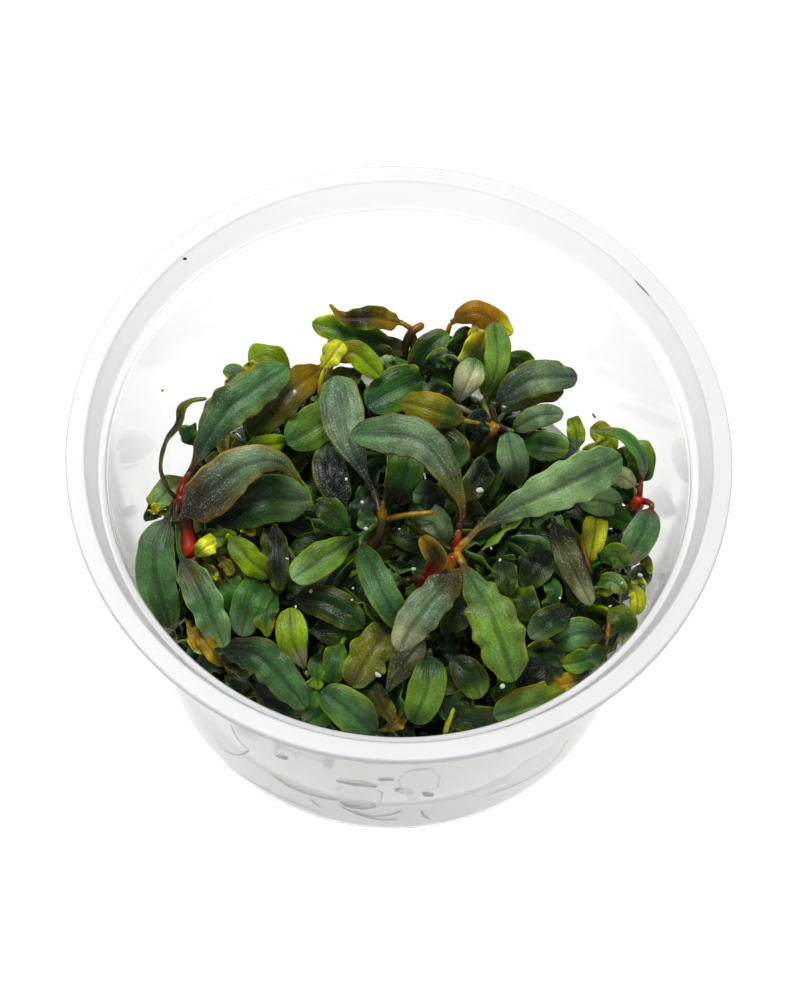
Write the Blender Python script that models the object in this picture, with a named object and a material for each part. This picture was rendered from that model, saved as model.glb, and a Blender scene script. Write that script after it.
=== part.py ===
"""Bucephalandra rosettes growing in a clear culture cup.

Metres, +Z up. The cup stands on z = 0 with its axis on the Z axis. Sizes below are in millimetres
and are turned to metres where a mesh is made. Front is -Y.
"""
import math

import bmesh
import bpy
from mathutils import Matrix, Vector

MM = 0.001
GAP = 0.35  # clearance between neighbouring solids

# Cup: a thin tapered wall, a ledge that carries a lid's plug, and a flat rim with a turned-down edge
CUP_HEIGHT = 66.0
RIM_RADIUS = 55.0
RIM_INNER_RADIUS = 51.8
RIM_THICKNESS = 0.8
RIM_DROP = 1.5
LEDGE_HEIGHT = 60.5
LEDGE_OUTER_RADIUS = 49.5
LEDGE_INNER_RADIUS = 48.4
BASE_RADIUS = 41.0
FOOT_RADIUS = 38.8
WALL = 0.8
CUP_SEGMENTS = 56

# Culture gel that fills the bottom of the cup
GEL_TOP = 15.5
GEL_MENISCUS = 1.2
GEL_SEGMENTS = 40

# Leaves: one closed blade each, narrowed to its stalk at the base
LEAF_THICKNESS = 0.6
STALK_HALF_WIDTH = 0.55
STALK_SHARE = 0.12
TIP_HALF_WIDTH = 0.25
LEAF_STATIONS = (0.0, 0.12, 0.27, 0.43, 0.59, 0.75, 0.9, 1.0)
UPWARD = (0.0, -0.4, 0.92)

# Undergrowth: small leaves packed between the gel and the main leaves, as one lumpy mound
MOUND_REACH_X = 41.5
MOUND_REACH_Y = 34.0
MOUND_SHIFT = -3.0  # the mound sits a little to the front, clear of the rear wall
MOUND_TOP = 38.6
MOUND_FALL = 8.0
MOUND_TILT = 0.06
MOUND_LUMP = 0.8
MOUND_SEGMENTS = 48
MOUND_OUTLINE = ((0.0, 1.0), (0.12, 1.0), (0.25, 1.0), (0.38, 1.0), (0.5, 1.0), (0.62, 1.0), (0.74, 1.0),
                 (0.84, 1.0), (0.92, 1.0), (0.98, 0.97), (1.0, 0.88), (0.96, 0.62), (0.88, 0.3), (0.8, 0.0), (0.0, 0.0))

# Leaf colours, sRGB
TEAL = (0.16, 0.33, 0.27)
DEEP_GREEN = (0.09, 0.22, 0.14)
GREEN = (0.22, 0.42, 0.16)
LIME = (0.45, 0.58, 0.12)
OLIVE = (0.36, 0.36, 0.12)
BLUE_GREY = (0.27, 0.37, 0.36)
BRONZE = (0.33, 0.24, 0.17)
RUST = (0.62, 0.33, 0.07)

# Each leaf: name, width, widest place along it (0 base, 1 tip), fold (height of the margins over the
# midrib for each unit of half width), colour, spine points from the stalk to the tip
LEAVES = (
    # Rosette at the left wall
    ("leaf_left_long", 7.6, 0.6, 0.15, TEAL, ((-35.8, 5.2, 44.5), (-29.5, 13.8, 51.0), (-19.2, 20.3, 50.5))),
    ("leaf_left_shiny", 7.6, 0.4, -0.2, TEAL, ((-36.0, -3.2, 44.2), (-31.2, 0.6, 48.6), (-25.0, 3.6, 50.6),
                                               (-16.2, 3.9, 45.5))),
    ("leaf_left_under", 8.4, 0.55, 0.1, DEEP_GREEN, ((-31.9, -2.6, 40.5), (-23.2, 0.6, 44.0), (-14.8, 2.6, 41.5))),
    ("leaf_left_hanging", 7.4, 0.5, -0.1, TEAL, ((-38.6, -4.6, 41.5), (-39.9, -11.0, 40.0), (-36.0, -19.4, 34.5))),
    ("leaf_left_strip", 5.4, 0.5, 0.25, BLUE_GREY, ((-34.4, -11.8, 40.6), (-31.0, -16.8, 41.0), (-27.9, -20.9, 36.5))),
    ("leaf_left_low", 6.0, 0.55, 0.1, GREEN, ((-21.0, -9.5, 38.0), (-23.7, -16.5, 41.0), (-25.0, -21.8, 37.5))),
    ("leaf_left_bright", 4.6, 0.5, 0.15, LIME, ((-28.2, -6.0, 43.5), (-24.3, -10.0, 43.0), (-20.4, -11.7, 40.5))),
    # Upper left
    ("leaf_back_dark", 6.6, 0.5, 0.1, OLIVE, ((-13.6, 26.6, 45.8), (-19.7, 19.5, 47.5), (-26.0, 13.4, 43.5))),
    ("leaf_back_broad", 7.6, 0.55, 0.1, TEAL, ((-8.8, 19.8, 41.4), (-13.5, 15.9, 44.4), (-19.5, 12.4, 43.0))),
    ("leaf_speckled", 8.0, 0.68, 0.12, BLUE_GREY, ((-3.6, 2.6, 43.5), (-8.8, 11.3, 48.5), (-11.5, 22.4, 49.5))),
    ("leaf_back_purple", 6.0, 0.5, 0.1, BRONZE, ((-8.5, 1.5, 40.5), (-11.6, 7.0, 43.0), (-12.4, 12.8, 42.0))),
    # Middle left
    ("leaf_mid_bright", 6.2, 0.62, 0.12, GREEN, ((-5.6, -4.4, 43.5), (-11.5, -10.0, 46.0), (-17.0, -13.8, 44.0))),
    ("leaf_mid_teal", 7.2, 0.55, 0.1, TEAL, ((-4.6, -7.4, 44.2), (-2.6, -14.6, 46.3), (-0.2, -20.8, 43.5))),
    ("leaf_mid_dark", 6.0, 0.5, 0.1, DEEP_GREEN, ((-17.0, -15.0, 39.5), (-10.5, -16.6, 41.0), (-4.5, -20.0, 40.0))),
    # Rosette in the middle
    ("leaf_centre_arch", 7.0, 0.62, 0.12, TEAL, ((10.6, -5.4, 48.2), (10.9, -1.5, 51.0), (6.6, 5.2, 54.2),
                                                 (1.7, 8.8, 54.8), (-8.5, 9.9, 52.5))),
    ("leaf_centre_right", 8.4, 0.62, 0.14, TEAL, ((12.0, -6.8, 48.0), (15.4, -3.8, 49.5), (26.8, 1.1, 54.0),
                                                  (37.6, 9.4, 50.4))),
    ("leaf_centre_front", 8.2, 0.6, 0.1, GREEN, ((11.4, -11.4, 47.2), (17.0, -22.2, 50.3), (19.8, -31.4, 44.5))),
    ("leaf_centre_olive", 6.2, 0.5, -0.15, OLIVE, ((8.6, -13.8, 46.0), (5.4, -20.4, 48.0), (4.4, -24.8, 45.6))),
    ("leaf_centre_tail", 5.4, 0.45, -0.15, BRONZE, ((4.3, -22.8, 43.0), (2.8, -26.0, 42.0), (1.1, -29.6, 37.5))),
    ("leaf_centre_rolled", 3.6, 0.5, 0.6, RUST, ((5.2, -12.8, 46.0), (7.2, -10.6, 47.8), (4.3, -6.8, 48.6))),
    ("leaf_centre_blue", 6.4, 0.5, 0.1, BLUE_GREY, ((1.6, -0.6, 41.5), (5.6, -1.2, 43.2), (8.6, -5.0, 42.0))),
    ("leaf_centre_dark", 6.6, 0.5, 0.1, DEEP_GREEN, ((-0.2, 1.8, 41.5), (1.2, 6.5, 45.0), (2.0, 11.0, 45.5))),
    # Back of the cup
    ("leaf_top_curled", 3.8, 0.45, 0.1, OLIVE, ((-0.6, 33.0, 50.0), (-5.3, 32.7, 52.0), (-10.5, 32.3, 52.2),
                                                (-13.3, 34.0, 53.6))),
    ("leaf_top_yellow", 5.0, 0.55, 0.2, LIME, ((-1.2, 30.4, 46.0), (-8.5, 31.0, 48.8), (-16.2, 32.9, 48.8))),
    ("leaf_top_lime", 4.6, 0.5, 0.1, LIME, ((-12.2, 25.6, 48.4), (-8.6, 27.2, 49.3), (-3.8, 23.4, 48.2))),
    ("leaf_top_broad", 7.8, 0.55, 0.1, DEEP_GREEN, ((4.3, 26.0, 44.0), (0.0, 23.6, 44.8), (-4.8, 20.2, 44.5))),
    ("leaf_top_olive", 5.0, 0.5, 0.15, OLIVE, ((2.6, 28.6, 46.2), (4.6, 30.6, 47.8), (6.6, 32.0, 48.3))),
    ("leaf_top_orange", 4.6, 0.5, -0.2, RUST, ((7.6, 33.8, 49.6), (12.0, 35.6, 50.6), (18.4, 33.0, 48.4))),
    ("leaf_top_upright", 4.4, 0.62, 0.1, TEAL, ((13.9, 20.4, 46.0), (15.9, 26.2, 50.0), (15.0, 33.0, 52.2))),
    ("leaf_top_lilac", 5.2, 0.6, 0.1, BRONZE, ((9.4, 19.8, 46.0), (11.0, 22.6, 50.3), (12.3, 26.4, 50.8))),
    ("leaf_top_yellowed", 5.8, 0.5, -0.15, OLIVE, ((11.2, 15.9, 47.8), (5.0, 16.0, 51.5), (-0.1, 18.3, 49.5))),
    # Rosette at the back right
    ("leaf_rear_bluegrey", 6.0, 0.5, 0.1, BLUE_GREY, ((15.4, 19.6, 46.8), (21.7, 22.8, 51.0), (29.8, 25.8, 47.5))),
    ("leaf_rear_slate", 4.2, 0.5, 0.1, BLUE_GREY, ((18.8, 15.8, 45.2), (23.2, 17.2, 48.5), (27.6, 18.2, 48.0))),
    ("leaf_rear_green", 5.2, 0.5, 0.1, DEEP_GREEN, ((20.6, 14.4, 43.6), (24.5, 13.0, 46.0), (28.8, 12.6, 46.0))),
    ("leaf_rear_teal", 5.4, 0.55, 0.12, TEAL, ((20.8, 6.0, 43.0), (19.3, 10.0, 46.5), (18.2, 14.2, 47.6))),
    # Rosette at the right wall
    ("leaf_right_streaked", 5.2, 0.5, 0.1, GREEN, ((38.4, 3.2, 42.6), (35.3, 3.4, 45.0), (30.8, 4.0, 44.5))),
    ("leaf_right_teal", 6.2, 0.5, 0.1, TEAL, ((43.2, 2.6, 46.2), (42.0, -1.4, 46.0), (39.6, -4.4, 41.4))),
    ("leaf_right_yellow", 4.4, 0.5, 0.1, LIME, ((33.2, -4.6, 40.5), (33.8, -1.9, 42.6), (34.1, 2.0, 42.6))),
    ("leaf_right_purple", 4.6, 0.5, 0.25, BRONZE, ((26.5, 0.3, 43.5), (28.9, -7.3, 46.2), (30.8, -10.9, 45.3),
                                                  (33.7, -14.4, 41.5))),
    ("leaf_right_low", 5.0, 0.5, 0.1, TEAL, ((30.2, -15.8, 42.0), (26.5, -19.2, 44.5), (23.3, -21.4, 42.5))),
    ("leaf_right_lower", 5.4, 0.5, 0.1, GREEN, ((36.2, -19.0, 39.0), (31.5, -19.4, 40.6), (26.8, -20.8, 39.0))),
    # Front
    ("leaf_front_right", 6.6, 0.5, 0.1, GREEN, ((30.4, -28.0, 36.5), (24.5, -32.0, 39.0), (18.0, -33.6, 37.0))),
    ("leaf_front_dark", 5.4, 0.55, 0.1, DEEP_GREEN, ((9.9, -24.8, 40.5), (13.4, -28.0, 40.5), (15.7, -31.2, 38.5))),
    ("leaf_front_green", 6.4, 0.5, 0.1, GREEN, ((6.8, -25.3, 43.0), (6.8, -31.2, 43.0), (4.7, -36.0, 37.5))),
    ("leaf_front_left", 6.6, 0.55, 0.1, GREEN, ((-4.1, -35.8, 33.0), (-6.3, -33.0, 37.0), (-8.9, -30.9, 38.5))),
    ("leaf_front_olive", 5.8, 0.5, 0.1, OLIVE, ((-0.6, -19.3, 40.0), (-3.6, -25.3, 42.0), (-5.2, -28.2, 38.5))),
    ("leaf_front_lime", 5.0, 0.6, 0.1, LIME, ((-13.5, -28.1, 37.5), (-16.2, -24.4, 43.0), (-17.0, -18.8, 43.5))),
    ("leaf_front_teal", 6.4, 0.5, 0.1, TEAL, ((-27.6, -26.6, 40.0), (-21.2, -28.0, 42.0), (-14.0, -32.0, 38.2))),
)

# Leaves that arch over a hub, which their upper face turns away from: name, width, widest place, colour,
# hub, points
ARCHED_LEAVES = (
    ("leaf_left_arched", 2.0, 0.6, OLIVE, (-33.5, 7.0, 43.0),
     ((-38.6, 1.0, 45.2), (-40.3, 4.5, 46.4), (-39.6, 8.3, 48.4), (-37.6, 11.4, 50.0), (-36.9, 14.4, 51.0),
      (-33.2, 16.7, 49.6))),
    ("leaf_right_arched", 3.0, 0.35, GREEN, (35.5, 8.0, 43.0),
     ((41.2, 6.6, 46.2), (41.2, 8.8, 48.2), (39.5, 11.4, 50.0), (36.8, 13.4, 51.0), (33.2, 14.3, 49.6))),
)

# Rhizomes: name, radius, colour, points from the growing end downwards
RHIZOMES = (
    ("rhizome_left", 1.5, (0.55, 0.12, 0.05), ((-37.0, 1.6, 43.8), (-35.6, -4.0, 40.8), (-34.4, -8.6, 39.6))),
    ("rhizome_centre", 1.2, (0.5, 0.18, 0.08), ((10.2, -8.4, 46.6), (8.6, -11.2, 44.0), (3.0, -11.6, 41.6))),
    ("rhizome_mid", 1.0, (0.5, 0.3, 0.1), ((-2.4, 0.6, 44.2), (-2.5, -3.2, 43.0), (-4.0, -6.0, 40.8))),
    ("rhizome_top", 0.9, (0.5, 0.2, 0.1), ((3.2, 34.0, 48.6), (0.6, 31.8, 48.0), (-0.4, 28.6, 43.0))),
    ("rhizome_rear", 1.1, (0.35, 0.2, 0.1), ((16.6, 16.6, 46.2), (14.4, 14.0, 44.8), (12.4, 12.4, 41.2))),
    ("rhizome_right", 1.3, (0.62, 0.12, 0.04), ((41.5, 5.0, 44.8), (40.2, 3.2, 42.4), (37.5, 1.2, 38.0))),
)


def clear_scene():
    for thing in list(bpy.data.objects):
        bpy.data.objects.remove(thing, do_unlink=True)


def linear(channel):
    return channel / 12.92 if channel <= 0.04045 else ((channel + 0.055) / 1.055) ** 2.4


def make_material(name, colour, roughness=0.45, transmission=0.0):
    material = bpy.data.materials.new(name)
    material.use_nodes = True
    shader = material.node_tree.nodes["Principled BSDF"]
    shader.inputs["Base Color"].default_value = (*[linear(c) for c in colour], 1.0)
    shader.inputs["Roughness"].default_value = roughness
    shader.inputs["Transmission Weight"].default_value = transmission
    return material


def finish_mesh(name, bm, material):
    """Turns a mesh in millimetres into a named object in metres."""
    bmesh.ops.transform(bm, matrix=Matrix.Scale(MM, 4), verts=bm.verts)
    mesh = bpy.data.meshes.new(name)
    bm.to_mesh(mesh)
    bm.free()
    mesh.shade_smooth()
    mesh.set_sharp_from_angle(angle=math.radians(40.0))
    mesh.materials.append(material)
    body = bpy.data.objects.new(name, mesh)
    bpy.context.scene.collection.objects.link(body)
    return body


def lathe(name, outline, segments, material):
    """Turns an outline of (radius, height), which starts and ends on the axis, about Z."""
    bm = bmesh.new()
    points = [bm.verts.new((radius, 0.0, height)) for radius, height in outline]
    edges = [bm.edges.new(pair) for pair in zip(points, points[1:])]
    bmesh.ops.spin(bm, geom=points + edges, cent=(0, 0, 0), axis=(0, 0, 1), angle=math.tau,
                   steps=segments, use_merge=True)
    bmesh.ops.remove_doubles(bm, verts=bm.verts, dist=0.001)
    bmesh.ops.recalc_face_normals(bm, faces=bm.faces)
    return finish_mesh(name, bm, material)


def wall_radius(height):
    """Outer radius of the tapered wall at a height."""
    share = height / LEDGE_HEIGHT
    return BASE_RADIUS + (LEDGE_INNER_RADIUS + WALL - BASE_RADIUS) * share


def make_cup():
    rim_under = CUP_HEIGHT - RIM_THICKNESS
    ledge_under = LEDGE_HEIGHT - WALL
    outside = [
        (0.0, 0.0),
        (FOOT_RADIUS, 0.0),
        (FOOT_RADIUS + 1.5, 0.7),
        (wall_radius(2.4), 2.4),
        (wall_radius(ledge_under - 0.8), ledge_under - 0.8),
        (LEDGE_OUTER_RADIUS + WALL, ledge_under),
        (RIM_INNER_RADIUS + 0.8, rim_under),
        (RIM_RADIUS - RIM_THICKNESS, rim_under),
        (RIM_RADIUS - RIM_THICKNESS, CUP_HEIGHT - RIM_DROP),
        (RIM_RADIUS, CUP_HEIGHT - RIM_DROP),
        (RIM_RADIUS, CUP_HEIGHT - 0.5),
        (RIM_RADIUS - 0.5, CUP_HEIGHT),
    ]
    inside = [
        (RIM_INNER_RADIUS, CUP_HEIGHT),
        (LEDGE_OUTER_RADIUS, LEDGE_HEIGHT),
        (LEDGE_INNER_RADIUS, LEDGE_HEIGHT),
        (wall_radius(3.0) - WALL, 3.0),
        (FOOT_RADIUS, WALL),
        (0.0, WALL),
    ]
    plastic = make_material("clear plastic", (0.93, 0.95, 0.95), 0.12, 0.9)
    lathe("cup", outside + inside, CUP_SEGMENTS, plastic)


def make_gel():
    outline = [
        (0.0, WALL + GAP),
        (FOOT_RADIUS - GAP, WALL + GAP),
        (wall_radius(3.2) - WALL - GAP, 3.2),
        (wall_radius(GEL_TOP) - WALL - GAP, GEL_TOP + GEL_MENISCUS),
        (wall_radius(GEL_TOP) - WALL - GAP - 2.0, GEL_TOP),
        (0.0, GEL_TOP),
    ]
    gel = make_material("culture gel", (0.88, 0.9, 0.82), 0.2, 0.8)
    lathe("gel", outline, GEL_SEGMENTS, gel)


def spine(points, shares):
    """Places at shares of the length of a smooth curve through the points, with their tangents."""
    knots = [Vector(p) for p in points]
    knots = [2 * knots[0] - knots[1]] + knots + [2 * knots[-1] - knots[-2]]
    fine = []
    for a, b, c, d in zip(knots, knots[1:], knots[2:], knots[3:]):
        for step in range(16):
            t = step / 16
            fine.append(0.5 * (2 * b + (c - a) * t + (2 * a - 5 * b + 4 * c - d) * t ** 2
                               + (3 * b - a - 3 * c + d) * t ** 3))
    fine.append(knots[-2])
    run = [0.0]
    for a, b in zip(fine, fine[1:]):
        run.append(run[-1] + (b - a).length)
    places = []
    for share in shares:
        goal = share * run[-1]
        k = max(1, next((i for i, length in enumerate(run) if length >= goal - 1e-9), len(run) - 1))
        local = (goal - run[k - 1]) / (run[k] - run[k - 1])
        place = fine[k - 1].lerp(fine[k], local)
        tangent = (fine[min(k + 1, len(fine) - 1)] - fine[max(k - 2, 0)]).normalized()
        places.append((place, tangent))
    return places


def half_width(share, width, widest):
    """Half the blade's width at a share of its length, with the stalk at the base and a blunt tip."""
    if share <= STALK_SHARE:
        return STALK_HALF_WIDTH
    blade = (share - STALK_SHARE) / (1.0 - STALK_SHARE)
    swell = math.sin(math.pi * blade ** (math.log(0.5) / math.log(widest))) ** 0.8
    least = STALK_HALF_WIDTH + (TIP_HALF_WIDTH - STALK_HALF_WIDTH) * blade
    return max(least, 0.5 * width * swell)


def make_leaf(name, width, widest, fold, colour, points, hub=None):
    """A blade on a curved spine, made from a grid of stations by three points across.

    Its upper face looks up and a little to the front, or away from the hub that it arches over.
    """
    bm = bmesh.new()
    bmesh.ops.create_grid(bm, x_segments=len(LEAF_STATIONS) - 1, y_segments=2, size=0.5)
    places = spine(points, LEAF_STATIONS)
    for vert in bm.verts:
        station = round((vert.co.x + 0.5) * (len(LEAF_STATIONS) - 1))
        across = vert.co.y / 0.5
        place, tangent = places[station]
        upward = place - Vector(hub) if hub else Vector(UPWARD)
        side = tangent.cross(upward).normalized()
        normal = side.cross(tangent)
        reach = half_width(LEAF_STATIONS[station], width, widest)
        vert.co = place + side * across * reach + normal * fold * reach * abs(across)
    bmesh.ops.recalc_face_normals(bm, faces=bm.faces)
    body = finish_mesh(name, bm, make_material(name.replace("_", " "), colour))
    blade = body.modifiers.new("Blade thickness", "SOLIDIFY")
    blade.thickness = LEAF_THICKNESS * MM
    blade.offset = 0.0
    blade.use_even_offset = False
    return body


def make_rhizome(name, radius, colour, points):
    """A short fleshy stem: a round tube along its curve, with closed ends."""
    route = bpy.data.curves.new(name, "CURVE")
    route.dimensions = "3D"
    route.bevel_depth = radius * MM
    route.bevel_resolution = 1
    route.use_fill_caps = True
    line = route.splines.new("POLY")
    places = spine(points, [step / 6 for step in range(7)])
    line.points.add(len(places) - 1)
    for knot, (place, _) in zip(line.points, places):
        knot.co = (*(place * MM), 1.0)
    route.materials.append(make_material(name.replace("_", " "), colour))
    body = bpy.data.objects.new(name, route)
    bpy.context.scene.collection.objects.link(body)


def mound_height(x, y):
    """Height of the undergrowth over a place: a low dome, higher at the back, with leafy lumps."""
    far = math.hypot(x / MOUND_REACH_X, (y - MOUND_SHIFT) / MOUND_REACH_Y)
    lumps = math.sin(0.83 * x + 0.7) * math.cos(0.71 * y) + math.sin(0.37 * (x - y) + 1.9)
    return MOUND_TOP + MOUND_TILT * y - MOUND_FALL * far ** 3 + MOUND_LUMP * lumps


def make_undergrowth():
    """The mound's outline holds shares of its radius and height, which the spun mesh is moved to."""
    bm = bmesh.new()
    points = [bm.verts.new((radius, 0.0, share)) for radius, share in MOUND_OUTLINE]
    edges = [bm.edges.new(pair) for pair in zip(points, points[1:])]
    bmesh.ops.spin(bm, geom=points + edges, cent=(0, 0, 0), axis=(0, 0, 1), angle=math.tau,
                   steps=MOUND_SEGMENTS, use_merge=True)
    bmesh.ops.remove_doubles(bm, verts=bm.verts, dist=0.0001)
    foot = GEL_TOP + GEL_MENISCUS + GAP
    for vert in bm.verts:
        turn = math.atan2(vert.co.y, vert.co.x)
        uneven = 1.0 + 0.02 * math.sin(9 * turn) + 0.015 * math.sin(16 * turn + 1.0)
        x, y = vert.co.x * uneven * MOUND_REACH_X, vert.co.y * uneven * MOUND_REACH_Y + MOUND_SHIFT
        share = vert.co.z
        vert.co = (x, y, foot + share * (mound_height(x, y) - foot))
    bmesh.ops.recalc_face_normals(bm, faces=bm.faces)
    finish_mesh("undergrowth", bm, make_material("packed small leaves", DEEP_GREEN))


def main():
    clear_scene()
    make_cup()
    make_gel()
    for name, width, widest, fold, colour, points in LEAVES:
        make_leaf(name, width, widest, fold, colour, points)
    for name, width, widest, colour, hub, points in ARCHED_LEAVES:
        make_leaf(name, width, widest, 0.1, colour, points, hub)
    for name, radius, colour, points in RHIZOMES:
        make_rhizome(name, radius, colour, points)
    make_undergrowth()


main()
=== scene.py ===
"""Bucephalandra plants in a clear culture cup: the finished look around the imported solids.

Sizes in the tables are millimetres, with the cup's underside on z = 0 and the front towards -Y.
"""
import math
import random

import bmesh
import bpy
from bpy.props import FloatProperty, FloatVectorProperty, IntProperty, PointerProperty
from mathutils import Matrix, Vector, noise


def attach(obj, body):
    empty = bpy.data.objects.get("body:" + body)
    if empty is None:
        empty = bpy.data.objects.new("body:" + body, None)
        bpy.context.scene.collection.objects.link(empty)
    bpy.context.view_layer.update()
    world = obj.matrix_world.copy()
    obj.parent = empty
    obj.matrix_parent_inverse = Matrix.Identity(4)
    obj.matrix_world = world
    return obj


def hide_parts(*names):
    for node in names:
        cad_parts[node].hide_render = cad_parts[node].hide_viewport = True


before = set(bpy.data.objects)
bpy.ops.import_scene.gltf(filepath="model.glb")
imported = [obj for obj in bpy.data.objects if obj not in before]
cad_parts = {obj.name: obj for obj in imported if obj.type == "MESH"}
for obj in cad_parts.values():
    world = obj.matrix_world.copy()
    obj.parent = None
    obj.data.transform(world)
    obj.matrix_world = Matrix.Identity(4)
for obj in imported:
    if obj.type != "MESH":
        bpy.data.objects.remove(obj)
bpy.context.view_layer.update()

bl_info = {
    "name": "Bucephalandra in a culture cup",
    "version": (1, 0, 0),
    "blender": (4, 5, 0),
    "location": "3D View > Sidebar > Plant",
    "description": "Dresses the packed cup and plants with leaves, stems, gel, plastic and a stage",
    "category": "Object",
}

MM = 0.001
UPWARD = Vector((0.0, -0.4, 0.92))

# Cup, the same sizes as the solid
CUP_HEIGHT = 66.0
RIM_RADIUS = 55.0
RIM_INNER_RADIUS = 51.8
RIM_THICKNESS = 0.8
RIM_DROP = 1.5
LEDGE_HEIGHT = 60.5
LEDGE_OUTER_RADIUS = 49.5
LEDGE_INNER_RADIUS = 48.4
BASE_RADIUS = 41.0
FOOT_RADIUS = 38.8
WALL = 0.8
BASE_LIFT = 0.35  # the middle of the base stands clear of the ring that the cup rests on
GEL_TOP = 15.5
GEL_MENISCUS = 1.2
GEL_GAP = 0.06

# A long flat of a turned piece gets a point this far from each end, so that it stays flat when smoothed
GUARD = 0.45

# Mound of small leaves, the same form as the solid
MOUND_REACH_X = 41.5
MOUND_REACH_Y = 34.0
MOUND_SHIFT = -3.0
MOUND_TOP = 38.6
MOUND_FALL = 8.0
MOUND_TILT = 0.06
MOUND_LUMP = 0.8

# Blade form: share of the length that is stalk, half widths of the stalk and of the midrib's end at the tip,
# and how the sides close at the base and at the tip
STALK_SHARE = 0.08
STALK_HALF_WIDTH = 0.5
RIB_HALF_WIDTH = 0.12
STRAP_TAPER = 0.34
WEDGE_TAPER = 0.68
WEDGE_FROM = 0.56
TIP_BLUNTNESS = 0.38
TIP_SLENDER = 1.2
SLENDER_BELOW = 0.4

# Waves of a margin: the length of one, and how much shorter the second, weaker set is
RIPPLE_LENGTH = 4.4
RIPPLE_RATIO = 1.6
RIPPLE_WEAKER = 0.6

# Refractive indices of plant tissue, polypropylene and a gel that is mostly water
TISSUE_IOR = 1.42
PLASTIC_IOR = 1.49
GEL_IOR = 1.34

# Camera, fitted to the outlines in the photo: what it looks at, distance, angle above the horizon and roll
CAMERA_TARGET = (0.32, 0.0, 48.36)
CAMERA_DISTANCE = 700.0
CAMERA_ELEVATION = 63.76
CAMERA_ROLL = 2.99

# Stage: half the floor's breadth, the softbox's breadth, where the softbox hangs and what it points at
FLOOR_REACH = 1600.0
SOFTBOX_BREADTH = 280.0
SOFTBOX_PLACE = (-100.0, 260.0, 740.0)
SOFTBOX_AIM = (0.0, 0.0, 40.0)

# Growing points that stalks rise from
CROWNS = {
    "left": (-37.0, 0.6, 43.2),
    "centre": (10.2, -8.4, 46.4),
    "mid": (-2.6, -1.6, 43.4),
    "top": (1.6, 32.6, 47.6),
    "rear": (16.5, 16.6, 45.6),
    "right": (41.0, 4.4, 43.8),
    "back": (-12.8, 24.6, 44.0),
}

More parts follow.
